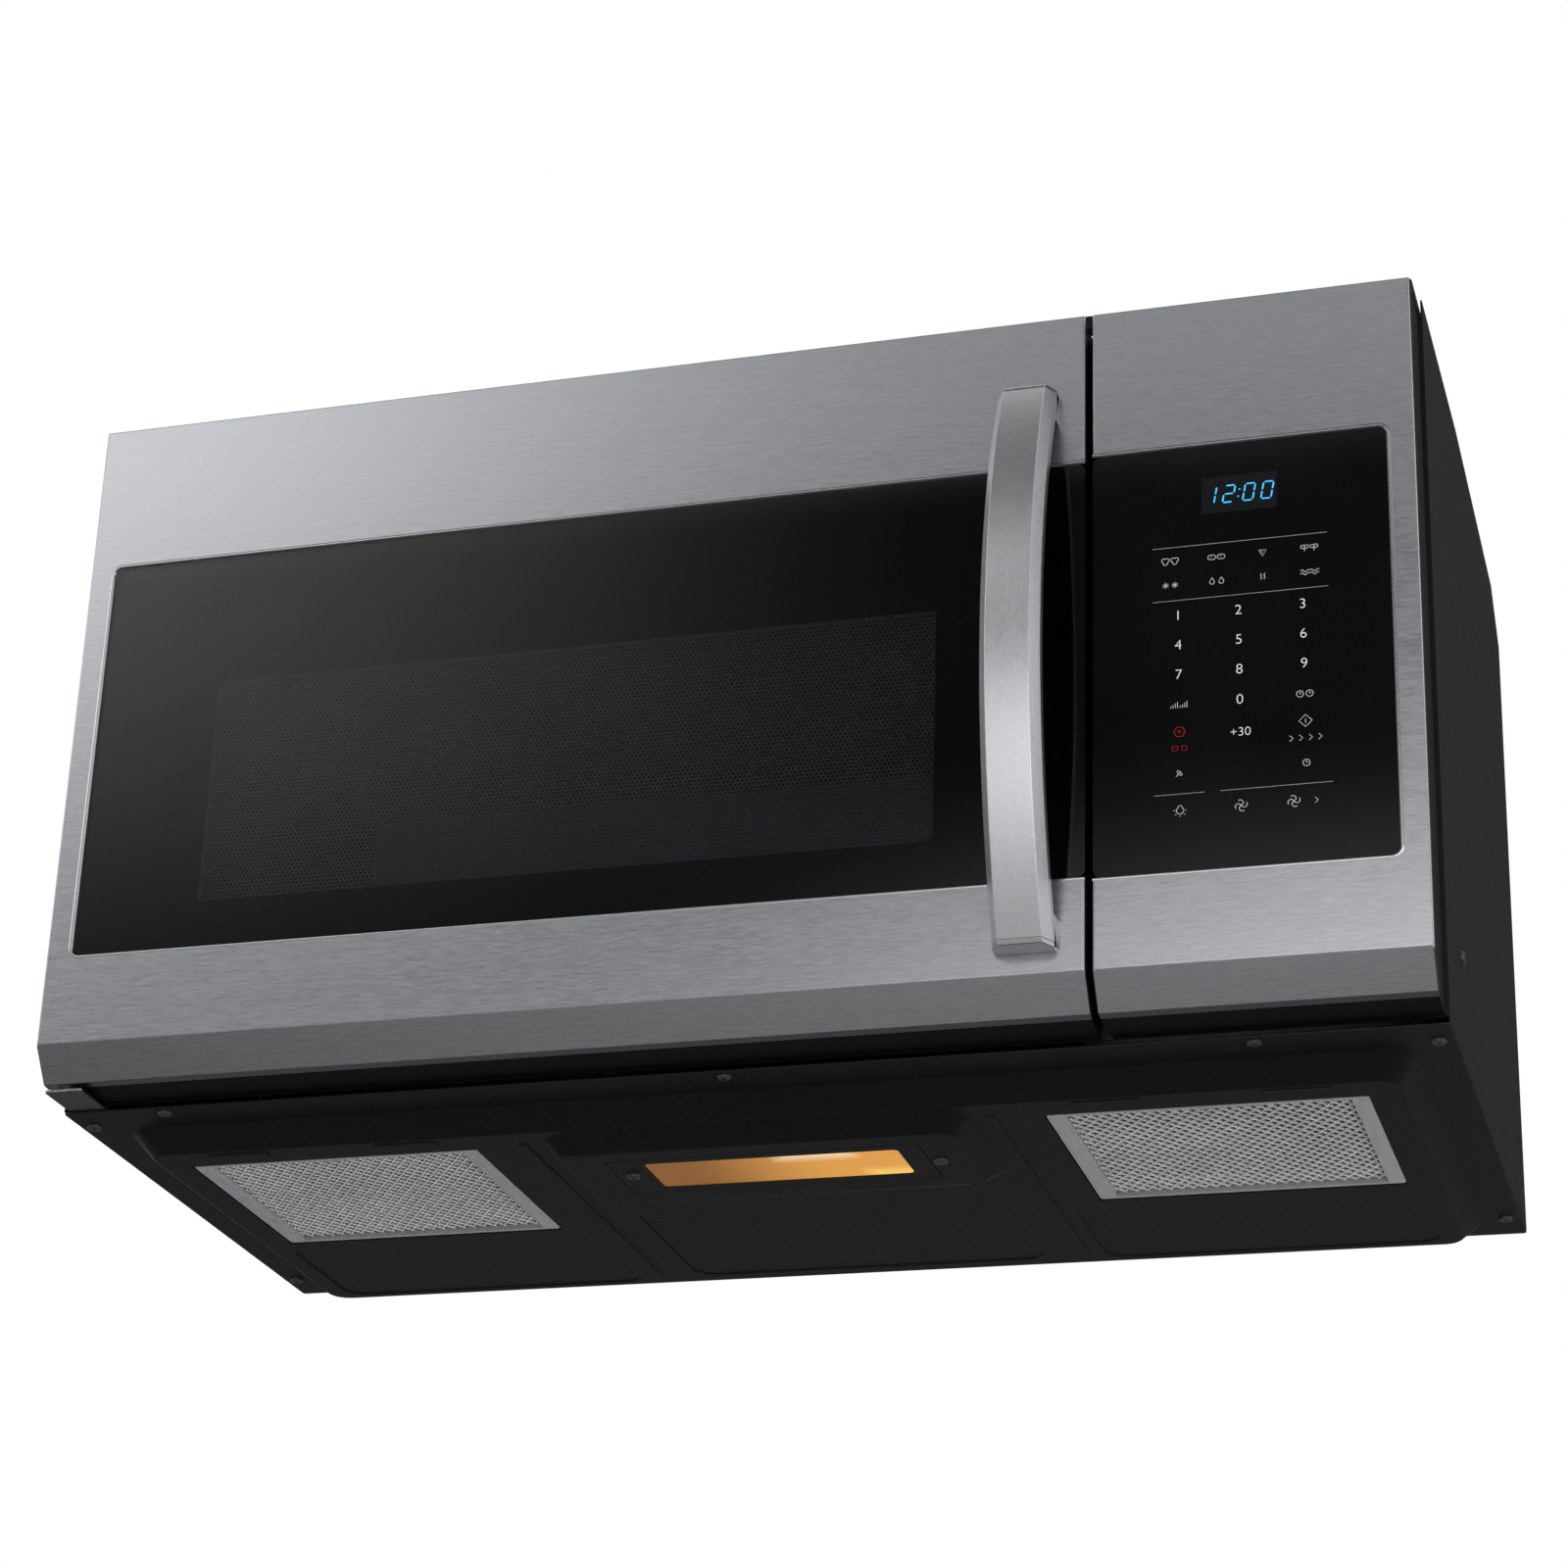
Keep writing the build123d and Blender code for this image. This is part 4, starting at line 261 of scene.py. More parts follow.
def round_edges(piece: bpy.types.Object, width: float, segments: int = 2, angle: float = 28.0) -> None:
    """Rounds a piece's sharp edges and shades it smooth between them.

    Args:
        piece: The piece.
        width: Width of the rounding in millimetres.
        segments: Faces across the rounding.
        angle: Edges sharper than this many degrees are rounded.
    """
    bevel = piece.modifiers.new("edge", "BEVEL")
    bevel.width = width * MM
    bevel.segments = segments
    bevel.limit_method = "ANGLE"
    bevel.angle_limit = math.radians(angle)
    bevel.use_clamp_overlap = False
    finish_modifier(piece, "edge")
    shade(piece)


def shade(piece: bpy.types.Object) -> None:
    """Shades a piece smooth across its rounded edges and keeps its large faces flat.

    Args:
        piece: The piece.
    """
    hold(piece)
    bpy.ops.object.shade_smooth_by_angle(angle=math.radians(SMOOTH_BELOW))
    weigh = piece.modifiers.new("weigh", "WEIGHTED_NORMAL")
    weigh.mode = "FACE_AREA"
    weigh.keep_sharp = True
    finish_modifier(piece, "weigh")


def soften(node: str, width: float, segments: int = 2, angle: float = 28.0) -> bpy.types.Object:
    """Copies a CAD node, joins its loose triangles and rounds its edges; the copy stands for the node.

    Args:
        node: Name of the CAD node.
        width: Width of the rounded edge in millimetres, or 0 to leave the edges.
        segments: Faces across the rounding.
        angle: Edges sharper than this many degrees are rounded.

    Returns:
        The softened copy, riding on the node's body.
    """
    piece = bpy.data.objects.new(node + "_shell", node_piece(node).data.copy())
    bpy.context.scene.collection.objects.link(piece)
    hold(piece)
    if piece.data.has_custom_normals:
        bpy.ops.mesh.customdata_custom_splitnormals_clear()
    bpy.ops.object.mode_set(mode="EDIT")
    bpy.ops.mesh.select_all(action="SELECT")
    bpy.ops.mesh.remove_doubles(threshold=SAME_POINT)
    bpy.ops.mesh.dissolve_limited(angle_limit=math.radians(FLAT_BELOW))
    bpy.ops.object.mode_set(mode="OBJECT")
    if width:
        round_edges(piece, width, segments, angle)
    else:
        shade(piece)
    stand_for(piece, node)
    return piece


def join(name: str, pieces: Sequence[bpy.types.Object]) -> bpy.types.Object:
    """Joins pieces into one object.

    Args:
        name: Name of the joined piece.
        pieces: The pieces, which must not be empty.

    Returns:
        The joined object.
    """
    rest()
    for piece in pieces:
        piece.select_set(True)
    bpy.context.view_layer.objects.active = pieces[0]
    if len(pieces) > 1:
        bpy.ops.object.join()
    joined = bpy.context.view_layer.objects.active
    joined.name = name
    settle(joined)
    return joined


def copy_at(pattern: bpy.types.Object, name: str, place: Matrix) -> bpy.types.Object:
    """Copies a modelled piece with its own mesh to another place.

    Args:
        pattern: The modelled piece.
        name: Name of the copy.
        place: Where the copy goes, from the pattern's place.

    Returns:
        The copy, at the origin.
    """
    made = bpy.data.objects.new(name, pattern.data.copy())
    bpy.context.scene.collection.objects.link(made)
    made.data.transform(place)
    return made


def drop(piece: bpy.types.Object) -> None:
    """Removes a pattern piece after its copies are made."""
    bpy.data.objects.remove(piece, do_unlink=True)


def node_piece(node: str) -> bpy.types.Object:
    """The CAD node of that name."""
    return frame["nodes"][node]


def body(node: str) -> str:
    """Name of the CAD body that a node rides on."""
    return body_of(node_piece(node))[0]


# ---------------------------------------------------------------- shader groups


Socket = bpy.types.NodeSocket
Value = float | tuple | Socket


class Graph:
    """Lays out one node tree with short calls."""

    def __init__(self, tree: bpy.types.NodeTree) -> None:
        """Keeps the tree."""
        self.tree = tree

    def feed(self, socket: Socket, value: Value) -> None:
        """Links a socket to an input, or sets the input's value.

        Args:
            socket: The input.
            value: The socket or the value that feeds it.
        """
        if isinstance(value, Socket):
            self.tree.links.new(value, socket)
        else:
            socket.default_value = value

    def add(self, kind: str, inputs: dict[str | int, Value] | None = None,
            **settings: object) -> bpy.types.Node:
        """Adds a node.

        Args:
            kind: Blender's type name of the node.
            inputs: Socket names or numbers, with a value or a socket to link from.
            **settings: Attributes of the node.

        Returns:
            The new node.
        """
        made = self.tree.nodes.new(kind)
        for name, value in settings.items():
            setattr(made, name, value)
        for name, value in (inputs or {}).items():
            self.feed(made.inputs[name], value)
        return made

    def math(self, operation: str, first: Value, second: Value = 0.0) -> Socket:
        """Adds a Math node and returns its result."""
        return self.add("ShaderNodeMath", {0: first, 1: second}, operation=operation).outputs[0]

    def share(self, first: Value, second: Value, share: float) -> Socket:
        """Adds two values, the second with the given share and the first with the rest."""
        return self.math("ADD", self.math("MULTIPLY", first, 1 - share), self.math("MULTIPLY", second, share))

    def around(self, value: Value, reach: float, base: float) -> Socket:
        """Scales a value by its reach and adds it to a base."""
        return self.math("ADD", self.math("MULTIPLY", value, reach), base)

    def vector(self, operation: str, first: Value, second: Value = (0.0, 0.0, 0.0)) -> Socket:
        """Adds a Vector Math node and returns its vector."""
        return self.add("ShaderNodeVectorMath", {0: first, 1: second}, operation=operation).outputs[0]

    def length(self, vector: Value) -> Socket:
        """Adds a Vector Math node that measures a vector."""
        return self.add("ShaderNodeVectorMath", {0: vector}, operation="LENGTH").outputs["Value"]

    def ramp(self, value: Value, low: float, high: float) -> Socket:
        """Maps a value smoothly from low..high to 0..1."""
        return self.add("ShaderNodeMapRange", {"Value": value, "From Min": low, "From Max": high},
                        interpolation_type="SMOOTHSTEP").outputs[0]

    def noise(self, vector: Value, scale: Value, detail: float = 2.0, **inputs: Value) -> Socket:
        """Adds a noise and returns its value."""
        wanted = {"Vector": vector, "Scale": scale, "Detail": detail, **inputs}
        return self.add("ShaderNodeTexNoise", wanted).outputs[0]

    def blend(self, factor: Value, first: Value, second: Value) -> Socket:
        """Mixes two colours; the second shows where the factor is 1."""
        return self.add("ShaderNodeMix", {0: factor, 6: first, 7: second}, data_type="RGBA").outputs[2]

    def bump(self, height: Value, strength: float, deep: float) -> Socket:
        """Turns a height into a surface normal, for a relief of the given depth in millimetres."""
        inputs = {"Height": height, "Strength": strength, "Distance": deep * MM}
        return self.add("ShaderNodeBump", inputs).outputs[0]

    def place(self) -> Socket:
        """Object coordinates of the surface, in metres."""
        return self.add("ShaderNodeTexCoord").outputs["Object"]

    def turned(self, vector: Value, rotation: Point) -> Socket:
        """Turns a pattern's coordinates by degrees about X, Y and Z."""
        angles = tuple(math.radians(angle) for angle in rotation)
        return self.add("ShaderNodeMapping", {"Vector": vector, "Rotation": angles}).outputs[0]


class Effect(Enum):
    """Shared surface effects, each one a node group."""

    STREAKS = "brushed_streaks"
    SPECKLE = "paint_speckle"
    HANDLING = "handled_surface"
    DOTS = "staggered_dots"
    FIELD = "soft_field"


Sockets = bpy.types.bpy_prop_collection


def new_group(effect: Effect, inputs: dict[str, float | Point],
              outputs: Sequence[str]) -> tuple[Graph, Sockets, Sockets]:
    """Makes an empty shader group with named sockets.

    Args:
        effect: Which effect the group is.
        inputs: Name of each input with its default, a number or a vector.
        outputs: Names of the float outputs.

    Returns:
        The group's graph, what comes into it, and what it puts out.
    """
    tree = bpy.data.node_groups.new(effect.value, "ShaderNodeTree")
    for name, default in inputs.items():
        kind = "NodeSocketVector" if isinstance(default, tuple) else "NodeSocketFloat"
        tree.interface.new_socket(name, in_out="INPUT", socket_type=kind).default_value = default
    for name in outputs:
        tree.interface.new_socket(name, in_out="OUTPUT", socket_type="NodeSocketFloat")
    graph = Graph(tree)
    return graph, graph.add("NodeGroupInput").outputs, graph.add("NodeGroupOutput").inputs


def make_streaks() -> None:
    """Brushed metal: fine lines drawn out along one axis, in two sizes."""
    graph, given, made = new_group(Effect.STREAKS, {"Stretch": (60.0, 900.0, 900.0)}, ("Tone", "Height"))
    place = graph.vector("MULTIPLY", graph.place(), given["Stretch"])
    fine = graph.noise(place, 1.0, 3.0, Roughness=0.62)
    broad = graph.noise(graph.vector("MULTIPLY", place, (0.2, 0.35, 0.35)), 1.0)
    graph.feed(made["Tone"], graph.ramp(graph.share(fine, broad, 0.15), 0.3, 0.7))
    graph.feed(made["Height"], fine)


def make_speckle() -> None:
    """Textured paint or moulded plastic: a fine pebbled grain with a few larger flecks."""
    graph, given, made = new_group(Effect.SPECKLE, {"Scale": 1400.0}, ("Tone", "Height"))
    place = graph.place()
    pebbles = graph.add("ShaderNodeTexVoronoi", {"Vector": place, "Scale": given["Scale"]},
                        feature="SMOOTH_F1").outputs["Distance"]
    grain = graph.noise(place, graph.math("MULTIPLY", given["Scale"], 0.6), 3.0)
    height = graph.math("ADD", graph.math("MULTIPLY", pebbles, 0.5), graph.math("MULTIPLY", grain, 0.6))
    graph.feed(made["Tone"], graph.ramp(grain, 0.35, 0.7))
    graph.feed(made["Height"], height)


def make_handling() -> None:
    """Slow cloudy variation over a hand's breadth, as of wiped and handled surfaces."""
    graph, given, made = new_group(Effect.HANDLING, {"Scale": 9.0}, ("Tone",))
    cloud = graph.noise(graph.place(), given["Scale"], 4.0, Distortion=0.6)
    graph.feed(made["Tone"], graph.ramp(cloud, 0.32, 0.7))


def make_dots() -> None:
    """Dots in staggered rows on the X-Y plane of the coordinates that come in."""
    graph, given, made = new_group(
        Effect.DOTS, {"Place": (0.0, 0.0, 0.0), "Pitch": 0.0026, "Dot": 0.34}, ("Mask", "Dome"))
    rows = 1.732
    tall = graph.math("MULTIPLY", given["Pitch"], rows)
    cell = graph.add("ShaderNodeCombineXYZ", {0: given["Pitch"], 1: tall, 2: 1.0}).outputs[0]
    unit = graph.vector("MULTIPLY", graph.vector("DIVIDE", given["Place"], cell), (1.0, 1.0, 0.0))
    nearest: Value = 9.0
    for shift in ((0.0, 0.0, 0.0), (0.5, 0.5, 0.0)):
        within = graph.vector("FRACTION", graph.vector("ADD", unit, shift))
        local = graph.vector("SUBTRACT", within, (0.5, 0.5, 0.0))
        distance = graph.length(graph.vector("MULTIPLY", local, (1.0, rows, 0.0)))
        nearest = graph.math("MINIMUM", distance, nearest)
    graph.feed(made["Mask"], graph.math("LESS_THAN", nearest, given["Dot"]))
    graph.feed(made["Dome"], graph.math("SUBTRACT", 1.0, graph.math("DIVIDE", nearest, 0.6)))


def make_field() -> None:
    """A soft-edged box in object coordinates: 1 inside, 0 outside, with an edge of the given softness."""
    graph, given, made = new_group(
        Effect.FIELD, {"Middle": (0.0, 0.0, 0.0), "Half": (0.1, 0.1, 0.1), "Soft": 0.01}, ("Inside",))
    away = graph.vector("ABSOLUTE", graph.vector("SUBTRACT", graph.place(), given["Middle"]))
    past = graph.add("ShaderNodeSeparateXYZ", {0: graph.vector("SUBTRACT", given["Half"], away)}).outputs
    least = graph.math("MINIMUM", graph.math("MINIMUM", past[0], past[1]), past[2])
    inside = graph.add("ShaderNodeMapRange", {"Value": least, "From Min": 0.0, "From Max": given["Soft"]})
    graph.feed(made["Inside"], inside.outputs[0])


def use(graph: Graph, effect: Effect, inputs: dict[str, Value] | None = None) -> Sockets:
    """Places a shared effect in a material.

    Args:
        graph: The material's graph.
        effect: The effect.
        inputs: Values or sockets for the group's inputs.

    Returns:
        The group node's outputs.
    """
    return graph.add("ShaderNodeGroup", inputs, node_tree=bpy.data.node_groups[effect.value]).outputs


def field(graph: Graph, low: Vector, high: Vector, soft: float) -> Socket:
    """Masks a box of a surface.

    Args:
        graph: The material's graph.
        low: Lowest corner, in metres.
        high: Highest corner, in metres.
        soft: Width of the mask's edge in millimetres.

    Returns:
        1 inside the box, 0 outside.
    """
    inputs = {"Middle": (low + high) / 2, "Half": (high - low) / 2, "Soft": soft * MM}
    return use(graph, Effect.FIELD, inputs)["Inside"]


def cloudy(graph: Graph, scale: float) -> Socket:
    """Slow variation of the given scale."""
    return use(graph, Effect.HANDLING, {"Scale": scale})["Tone"]


# ---------------------------------------------------------------- finishes


class Grain(Enum):
    """Direction or kind of a finish's fine structure."""

    ALONG_X = (120.0, 1700.0, 1700.0)
    ALONG_Z = (1700.0, 1700.0, 160.0)
    ALONG_Y = (1500.0, 70.0, 1500.0)
    PEBBLED = (0.0, 0.0, 0.0)


def new_material(name: str, values: dict[str, float]) -> tuple[bpy.types.Material, Graph, Sockets]:
    """Makes a material with one Principled shader.

    Args:
        name: Name of the material.
        values: Plain values for the shader's sockets.

    Returns:
        The material, its graph and the shader's inputs.
    """
    material = bpy.data.materials.new(name)
    material.use_nodes = True
    inputs = material.node_tree.nodes["Principled BSDF"].inputs
    for socket, value in values.items():
        inputs[socket].default_value = value
    return material, Graph(material.node_tree), inputs


@dataclass(frozen=True)
class Patch:
    """A box of a finish that has another, non-metal colour, such as a painted frame.

    Attributes:
        low: Lowest corner as x, depth and height in millimetres.
        high: Highest corner.
        tone: The colour.
        outside: True if the colour covers all but the box.
    """

    low: Point
    high: Point
    tone: str
    outside: bool = False

    def mask(self, graph: Graph) -> Socket:
        """Builds the patch's mask: 1 where its colour shows."""
        inside = field(graph, at(*self.low), at(*self.high), 0.2)
        return graph.math("SUBTRACT", 1.0, inside) if self.outside else inside


@dataclass(frozen=True)
class Finish:
    """A solid finish: two close tones, a fine grain and slow cloudy variation of the gloss."""

    name: str
    light: str
    dark: str
    roughness: float
    metallic: float = 0.0
    specular: float = 0.5
    grain: Grain = Grain.PEBBLED
    grain_scale: float = 1400.0
    relief: float = 0.12
    relief_mm: float = 0.02
    spread: float = 0.08
    clouds: float = 0.15
    patches: tuple[Patch, ...] = ()

    def make(self) -> bpy.types.Material:
        """Builds the material the first time that it is asked for.

        Returns:
            The material.
        """
        if self.name in bpy.data.materials:
            return bpy.data.materials[self.name]
        material, graph, shader = new_material(
            self.name, {"Metallic": self.metallic, "Specular IOR Level": self.specular})
        if self.grain is Grain.PEBBLED:
            grain = use(graph, Effect.SPECKLE, {"Scale": self.grain_scale})
        else:
            grain = use(graph, Effect.STREAKS, {"Stretch": self.grain.value})
        mixed = graph.share(grain["Tone"], use(graph, Effect.HANDLING)["Tone"], self.clouds)
        colour = graph.blend(mixed, linear(self.dark), linear(self.light))
        metal: Value = self.metallic
        for patch in self.patches:
            mask = patch.mask(graph)
            colour = graph.blend(mask, colour, linear(patch.tone))
            metal = graph.math("MULTIPLY", graph.math("SUBTRACT", 1.0, mask), metal)
        graph.feed(shader["Base Color"], colour)
        graph.feed(shader["Metallic"], metal)
        graph.feed(shader["Roughness"], graph.around(mixed, self.spread, self.roughness - self.spread / 2))
        graph.feed(shader["Normal"], graph.bump(grain["Height"], self.relief, self.relief_mm))
        return material


# The two ends of the front are dark from FOLD millimetres behind its face.
FOLD = 0.9
INNER_WALL = "#141416"
FRONT_STEEL = Finish("brushed_front_steel", "#c7c8cc", "#b0b1b6", 0.31, metallic=1.0, grain=Grain.ALONG_X,
                     relief=0.06, clouds=0.06, patches=tuple(
                         Patch((x, FOLD, -10), (x + 2.7, 60, 420), INNER_WALL) for x in (377.3, -380.0)))
ROLLED_STEEL = Finish("rolled_steel_edge", "#d2d3d6", "#c4c5c9", 0.24, metallic=1.0, grain=Grain.ALONG_X,
                      relief=0.04)
BAR_STEEL = Finish("brushed_bar_steel", "#e6e7ea", "#d2d3d7", 0.36, metallic=1.0, grain=Grain.ALONG_Z,
                   relief=0.06, clouds=0.06)
CHROME = Finish("polished_chrome", "#d8d9dc", "#c4c5c9", 0.10, metallic=1.0, grain=Grain.ALONG_X,
                relief=0.05, spread=0.04)
BLACK_PAINT = Finish("black_case_paint", "#17171a", "#0f0f12", 0.5, specular=0.3, grain_scale=1500.0,
                     relief=0.25, relief_mm=0.05)
BASE_PAINT = Finish("black_base_paint", "#17171a", "#0e0e11", 0.36, specular=0.35, grain_scale=1700.0,
                    relief=0.25, relief_mm=0.05)
DARK_PLASTIC = Finish("black_moulded_plastic", "#0f0f10", "#0a0a0b", 0.42, specular=0.25, grain_scale=2200.0)
GALVANISED = Finish("galvanised_sheet", "#a9abad", "#8d9093", 0.42, metallic=1.0, grain_scale=160.0,
                    relief=0.05, clouds=0.5)
# Only the inside of the oven is grey; its outer faces and front edge are dark.
ENAMEL = Finish("grey_oven_enamel", "#a9a9a4", "#9d9d98", 0.30, grain_scale=900.0, relief=0.08,
                patches=(Patch((-353, 46.5, 70.5), (169, 400, 320), "#121213", outside=True),))
ALUMINIUM = Finish("bright_aluminium", "#b4b5b8", "#98999c", 0.42, metallic=0.3, grain=Grain.ALONG_Y,
                   relief=0.2)
MESH_WIRE = Finish("filter_mesh_aluminium", "#ececec", "#c6c7c9", 0.28, metallic=0.25, grain_scale=500.0,
                   relief=0.3, clouds=0.4)
REFLECTOR = Finish("lamp_reflector_metal", "#e3e2de", "#cfcec9", 0.22, metallic=1.0, grain_scale=600.0,
                   relief=0.1)
ZINC = Finish("zinc_plated_steel", "#b3b4b6", "#94969a", 0.35, metallic=1.0, grain_scale=900.0, relief=0.1)
BLACK_SCREW = Finish("black_screw", "#6a6a6e", "#3c3c40", 0.3, metallic=0.6, grain_scale=2500.0, relief=0.1)
CORE_STEEL = Finish("varnished_core", "#4a4742", "#2e2c2a", 0.45, metallic=0.6, grain=Grain.ALONG_X,
                    relief=0.4)
WHITE_PLASTIC = Finish("white_moulded_plastic", "#d9d8d2", "#cfcec7", 0.42, specular=0.4, grain_scale=2000.0)
CIRCUIT = Finish("green_solder_mask", "#1f5a38", "#174429", 0.35, grain_scale=800.0, relief=0.1)
CHARCOAL = Finish("charcoal_bed", "#2b2b2b", "#0c0c0c", 0.95, specular=0.1, grain_scale=420.0,
                  relief=0.9, relief_mm=0.6)
MICA = Finish("mica_sheet", "#b0a78f", "#8f8670", 0.5, specular=0.4, grain_scale=300.0, relief=0.1,
              clouds=0.5)
DISPLAY = Finish("display_lens", "#101418", "#0a0c0e", 0.2, specular=0.4, grain_scale=2500.0, relief=0.02)
FRIT = Finish("black_glass_print", "#070708", "#050506", 0.6, specular=0.0, grain_scale=3000.0, relief=0.0)
MARK_WHITE = Finish("white_key_print", "#f6f6f7", "#eeeff0", 0.5, specular=0.2, grain_scale=4000.0,
                    relief=0.05)
MARK_RED = Finish("red_key_print", "#d8242f", "#c81f2a", 0.5, specular=0.2, grain_scale=4000.0, relief=0.05)

FINISH_NODES: dict[Finish, tuple[str, ...]] = {
    ENAMEL: ("oven_cavity",),
    BLACK_PAINT: ("case_top", "door_choke"),
    GALVANISED: ("component_shelf", "rear_panel", "magnetron", "waveguide", "fan_shroud", "blower_housing",
                 "blower_wheels"),
    DARK_PLASTIC: ("vent_grille", "control_frame", "interlock_switches", "fan_blades", "door_frame",
                   "door_inner_cover"),
    CHARCOAL: ("charcoal_filter",),
    DISPLAY: ("display_module",),
    CIRCUIT: ("control_board",),
    MICA: ("mica_cover",),
    ALUMINIUM: ("hv_capacitor",),
    REFLECTOR: ("lamp_reflector",),
    CORE_STEEL: ("hv_transformer", "fan_motor", "blower_motor"),
    WHITE_PLASTIC: ("interlock_bracket", "turntable_coupler", "roller_ring", "roller_1", "roller_2",
                    "roller_3", "latch_hooks"),
    ZINC: ("turntable_motor", "blower_shaft", "hinge_lower", "hinge_upper", "hinge_pins", "latch_spring",
           "handle_screws"),
}


@dataclass(frozen=True)
class ClearGlass:
    """Glass with a tint: plain transmission, smooth, with faint wiping marks in the gloss."""

    name: str
    tint: str
    roughness: float = 0.02
    wiping: float = 0.01

    def make(self) -> bpy.types.Material:
        """Builds the glass material.

        Returns:
            The material.
        """
        material, graph, shader = new_material(
            self.name, {"Metallic": 0.0, "Transmission Weight": 1.0, "IOR": 1.45})
        cloud = cloudy(graph, 14.0)
        graph.feed(shader["Base Color"], graph.blend(cloud, linear(self.tint, 0.9), linear(self.tint)))
        graph.feed(shader["Roughness"], graph.around(cloud, self.wiping, self.roughness))
        return material


@dataclass(frozen=True)
class PanelGlass:
    """Opaque black glass of the keypad, with a slightly lighter clock window printed behind it."""

    window_x: Pair = (265.6, 306.0)
    window_h: Pair = (276.8, 299.0)
    roughness: float = 0.05
    wiping: float = 0.03

    def make(self) -> bpy.types.Material:
        """Builds the keypad glass.

        Returns:
            The material.
        """
        material, graph, shader = new_material("keypad_glass", {"Specular IOR Level": 0.4, "IOR": 1.5})
        low, high = (at(self.window_x[k], (-20, 20)[k], self.window_h[k]) for k in (0, 1))
        window = field(graph, low, high, 0.8)
        cloud = cloudy(graph, 10.0)
        ground = graph.blend(cloud, linear("#080809"), linear("#0b0b0c"))
        graph.feed(shader["Base Color"], graph.blend(window, ground, linear("#1a1b1e")))
        graph.feed(shader["Roughness"], graph.around(cloud, self.wiping, self.roughness))
        return material


@dataclass(frozen=True)
class PerforatedSheet:
    """Dark painted sheet with small holes in staggered rows over its middle field.

    A trace of glow stands for the light that reaches the sheet through the tinted glass.

    Attributes:
        x: Left and right of the field with holes.
        height: Bottom and top of that field.
        pitch: Distance between holes in millimetres.
        dot: Radius of a hole as a share of the pitch.
        glow: Strength of the glow.
    """

    x: Pair
    height: Pair
    pitch: float = 2.6
    dot: float = 0.33
    colour: str = "#6c6b6d"
    glow: float = 0.06

    def make(self) -> bpy.types.Material:
        """Builds the perforated finish, whose holes let light through.

        Returns:
            The material.
        """
        material, graph, shader = new_material("perforated_screen", {
            "Specular IOR Level": 0.2, "Roughness": 0.5, "Emission Strength": self.glow})
        place = graph.turned(graph.place(), (-90.0, 0.0, 0.0))
        dots = use(graph, Effect.DOTS, {"Place": place, "Pitch": self.pitch * MM, "Dot": self.dot})["Mask"]
        low, high = (at(self.x[k], (-100, 200)[k], self.height[k]) for k in (0, 1))
        holes = graph.math("MULTIPLY", dots, field(graph, low, high, 0.01))
        grain = use(graph, Effect.SPECKLE, {"Scale": 1800.0})["Tone"]
        paint = graph.blend(grain, linear(self.colour, 0.8), linear(self.colour))
        graph.feed(shader["Base Color"], paint)
        graph.feed(shader["Emission Color"], paint)
        graph.feed(shader["Alpha"], graph.math("SUBTRACT", 1.0, holes))
        return material


@dataclass(frozen=True)
class PrismLens:
    """Amber lamp lens with rows of small prisms, glowing with painted light that brightens towards the bulb.

    Attributes:
        pitch: Distance between prisms in millimetres.
        glow_ramp_x: Where the painted glow starts to brighten and where it is brightest, as x.
        painted_hot_spots: Fields of painted light: lowest and highest corner, share and colour.
    """

    pitch: float = 1.7
    dot: float = 0.3
    glow_ramp_x: Pair = (-50.0, 42.0)
    painted_hot_spots: tuple[tuple[Point, Point, float, str], ...] = (
        ((2, 90, -30), (54, 139, 0), 0.85, "#fff0d0"), ((46, 152, -30), (90, 200, 0), 0.9, "#ffdc78"))
    spot_edge: float = 20.0

    def make(self) -> bpy.types.Material:
        """Builds the lens.

        Returns:
            The material.
        """
        material, graph, shader = new_material(
            "amber_prism_lens", {"Roughness": 0.3, "Specular IOR Level": 0.4, "Emission Strength": 1.0})
        prisms = {"Place": graph.place(), "Pitch": self.pitch * MM, "Dot": self.dot}
        dome = use(graph, Effect.DOTS, prisms)["Dome"]
        # Painted light: the glow brightens along x towards the bulb, and each hot spot field is painted
        # light.
        x = graph.add("ShaderNodeSeparateXYZ", {0: graph.place()}).outputs[0]
        along = graph.ramp(x, *(end * MM for end in self.glow_ramp_x))
        light = graph.blend(along, linear("#7c5228"), linear("#cc9044"))
        for low, high, share, colour in self.painted_hot_spots:
            spot = field(graph, at(*low), at(*high), self.spot_edge)
            light = graph.blend(graph.math("MULTIPLY", spot, share), light, linear(colour))
        # Painted shade round the rim of each prism.
        shaded = graph.blend(graph.ramp(dome, 0.2, 0.9), light, linear("#5e3a16"))
        glow = graph.blend(0.35, light, shaded)
        graph.feed(shader["Emission Color"], glow)
        graph.feed(shader["Base Color"], graph.blend(0.5, glow, linear("#2a1a0c")))
        graph.feed(shader["Normal"], graph.bump(dome, 0.6, 0.4))
        return material


@dataclass(frozen=True)
class Glow:
    """A lit surface, such as the clock's digits or the bulb."""

    name: str
    colour: str
    strength: float

    def make(self) -> bpy.types.Material:
        """Builds the glowing material, a little uneven as lit segments are.

        Returns:
            The material.
        """
        material, graph, shader = new_material(
            self.name, {"Roughness": 0.4, "Emission Strength": self.strength})
        lit = graph.blend(cloudy(graph, 160.0), linear(self.colour, 0.8), linear(self.colour))
        graph.feed(shader["Emission Color"], lit)
        graph.feed(shader["Base Color"], lit)
        return material


def dress(piece: bpy.types.Object, material: bpy.types.Material) -> bpy.types.Object:
    """Gives a piece one material all over.

    Args:
        piece: A CAD node or a new piece.
        material: The material.

    Returns:
        The piece.
    """
    if not piece.material_slots:
        piece.data.materials.append(material)
    for held in piece.material_slots:
        held.material = material
    return piece


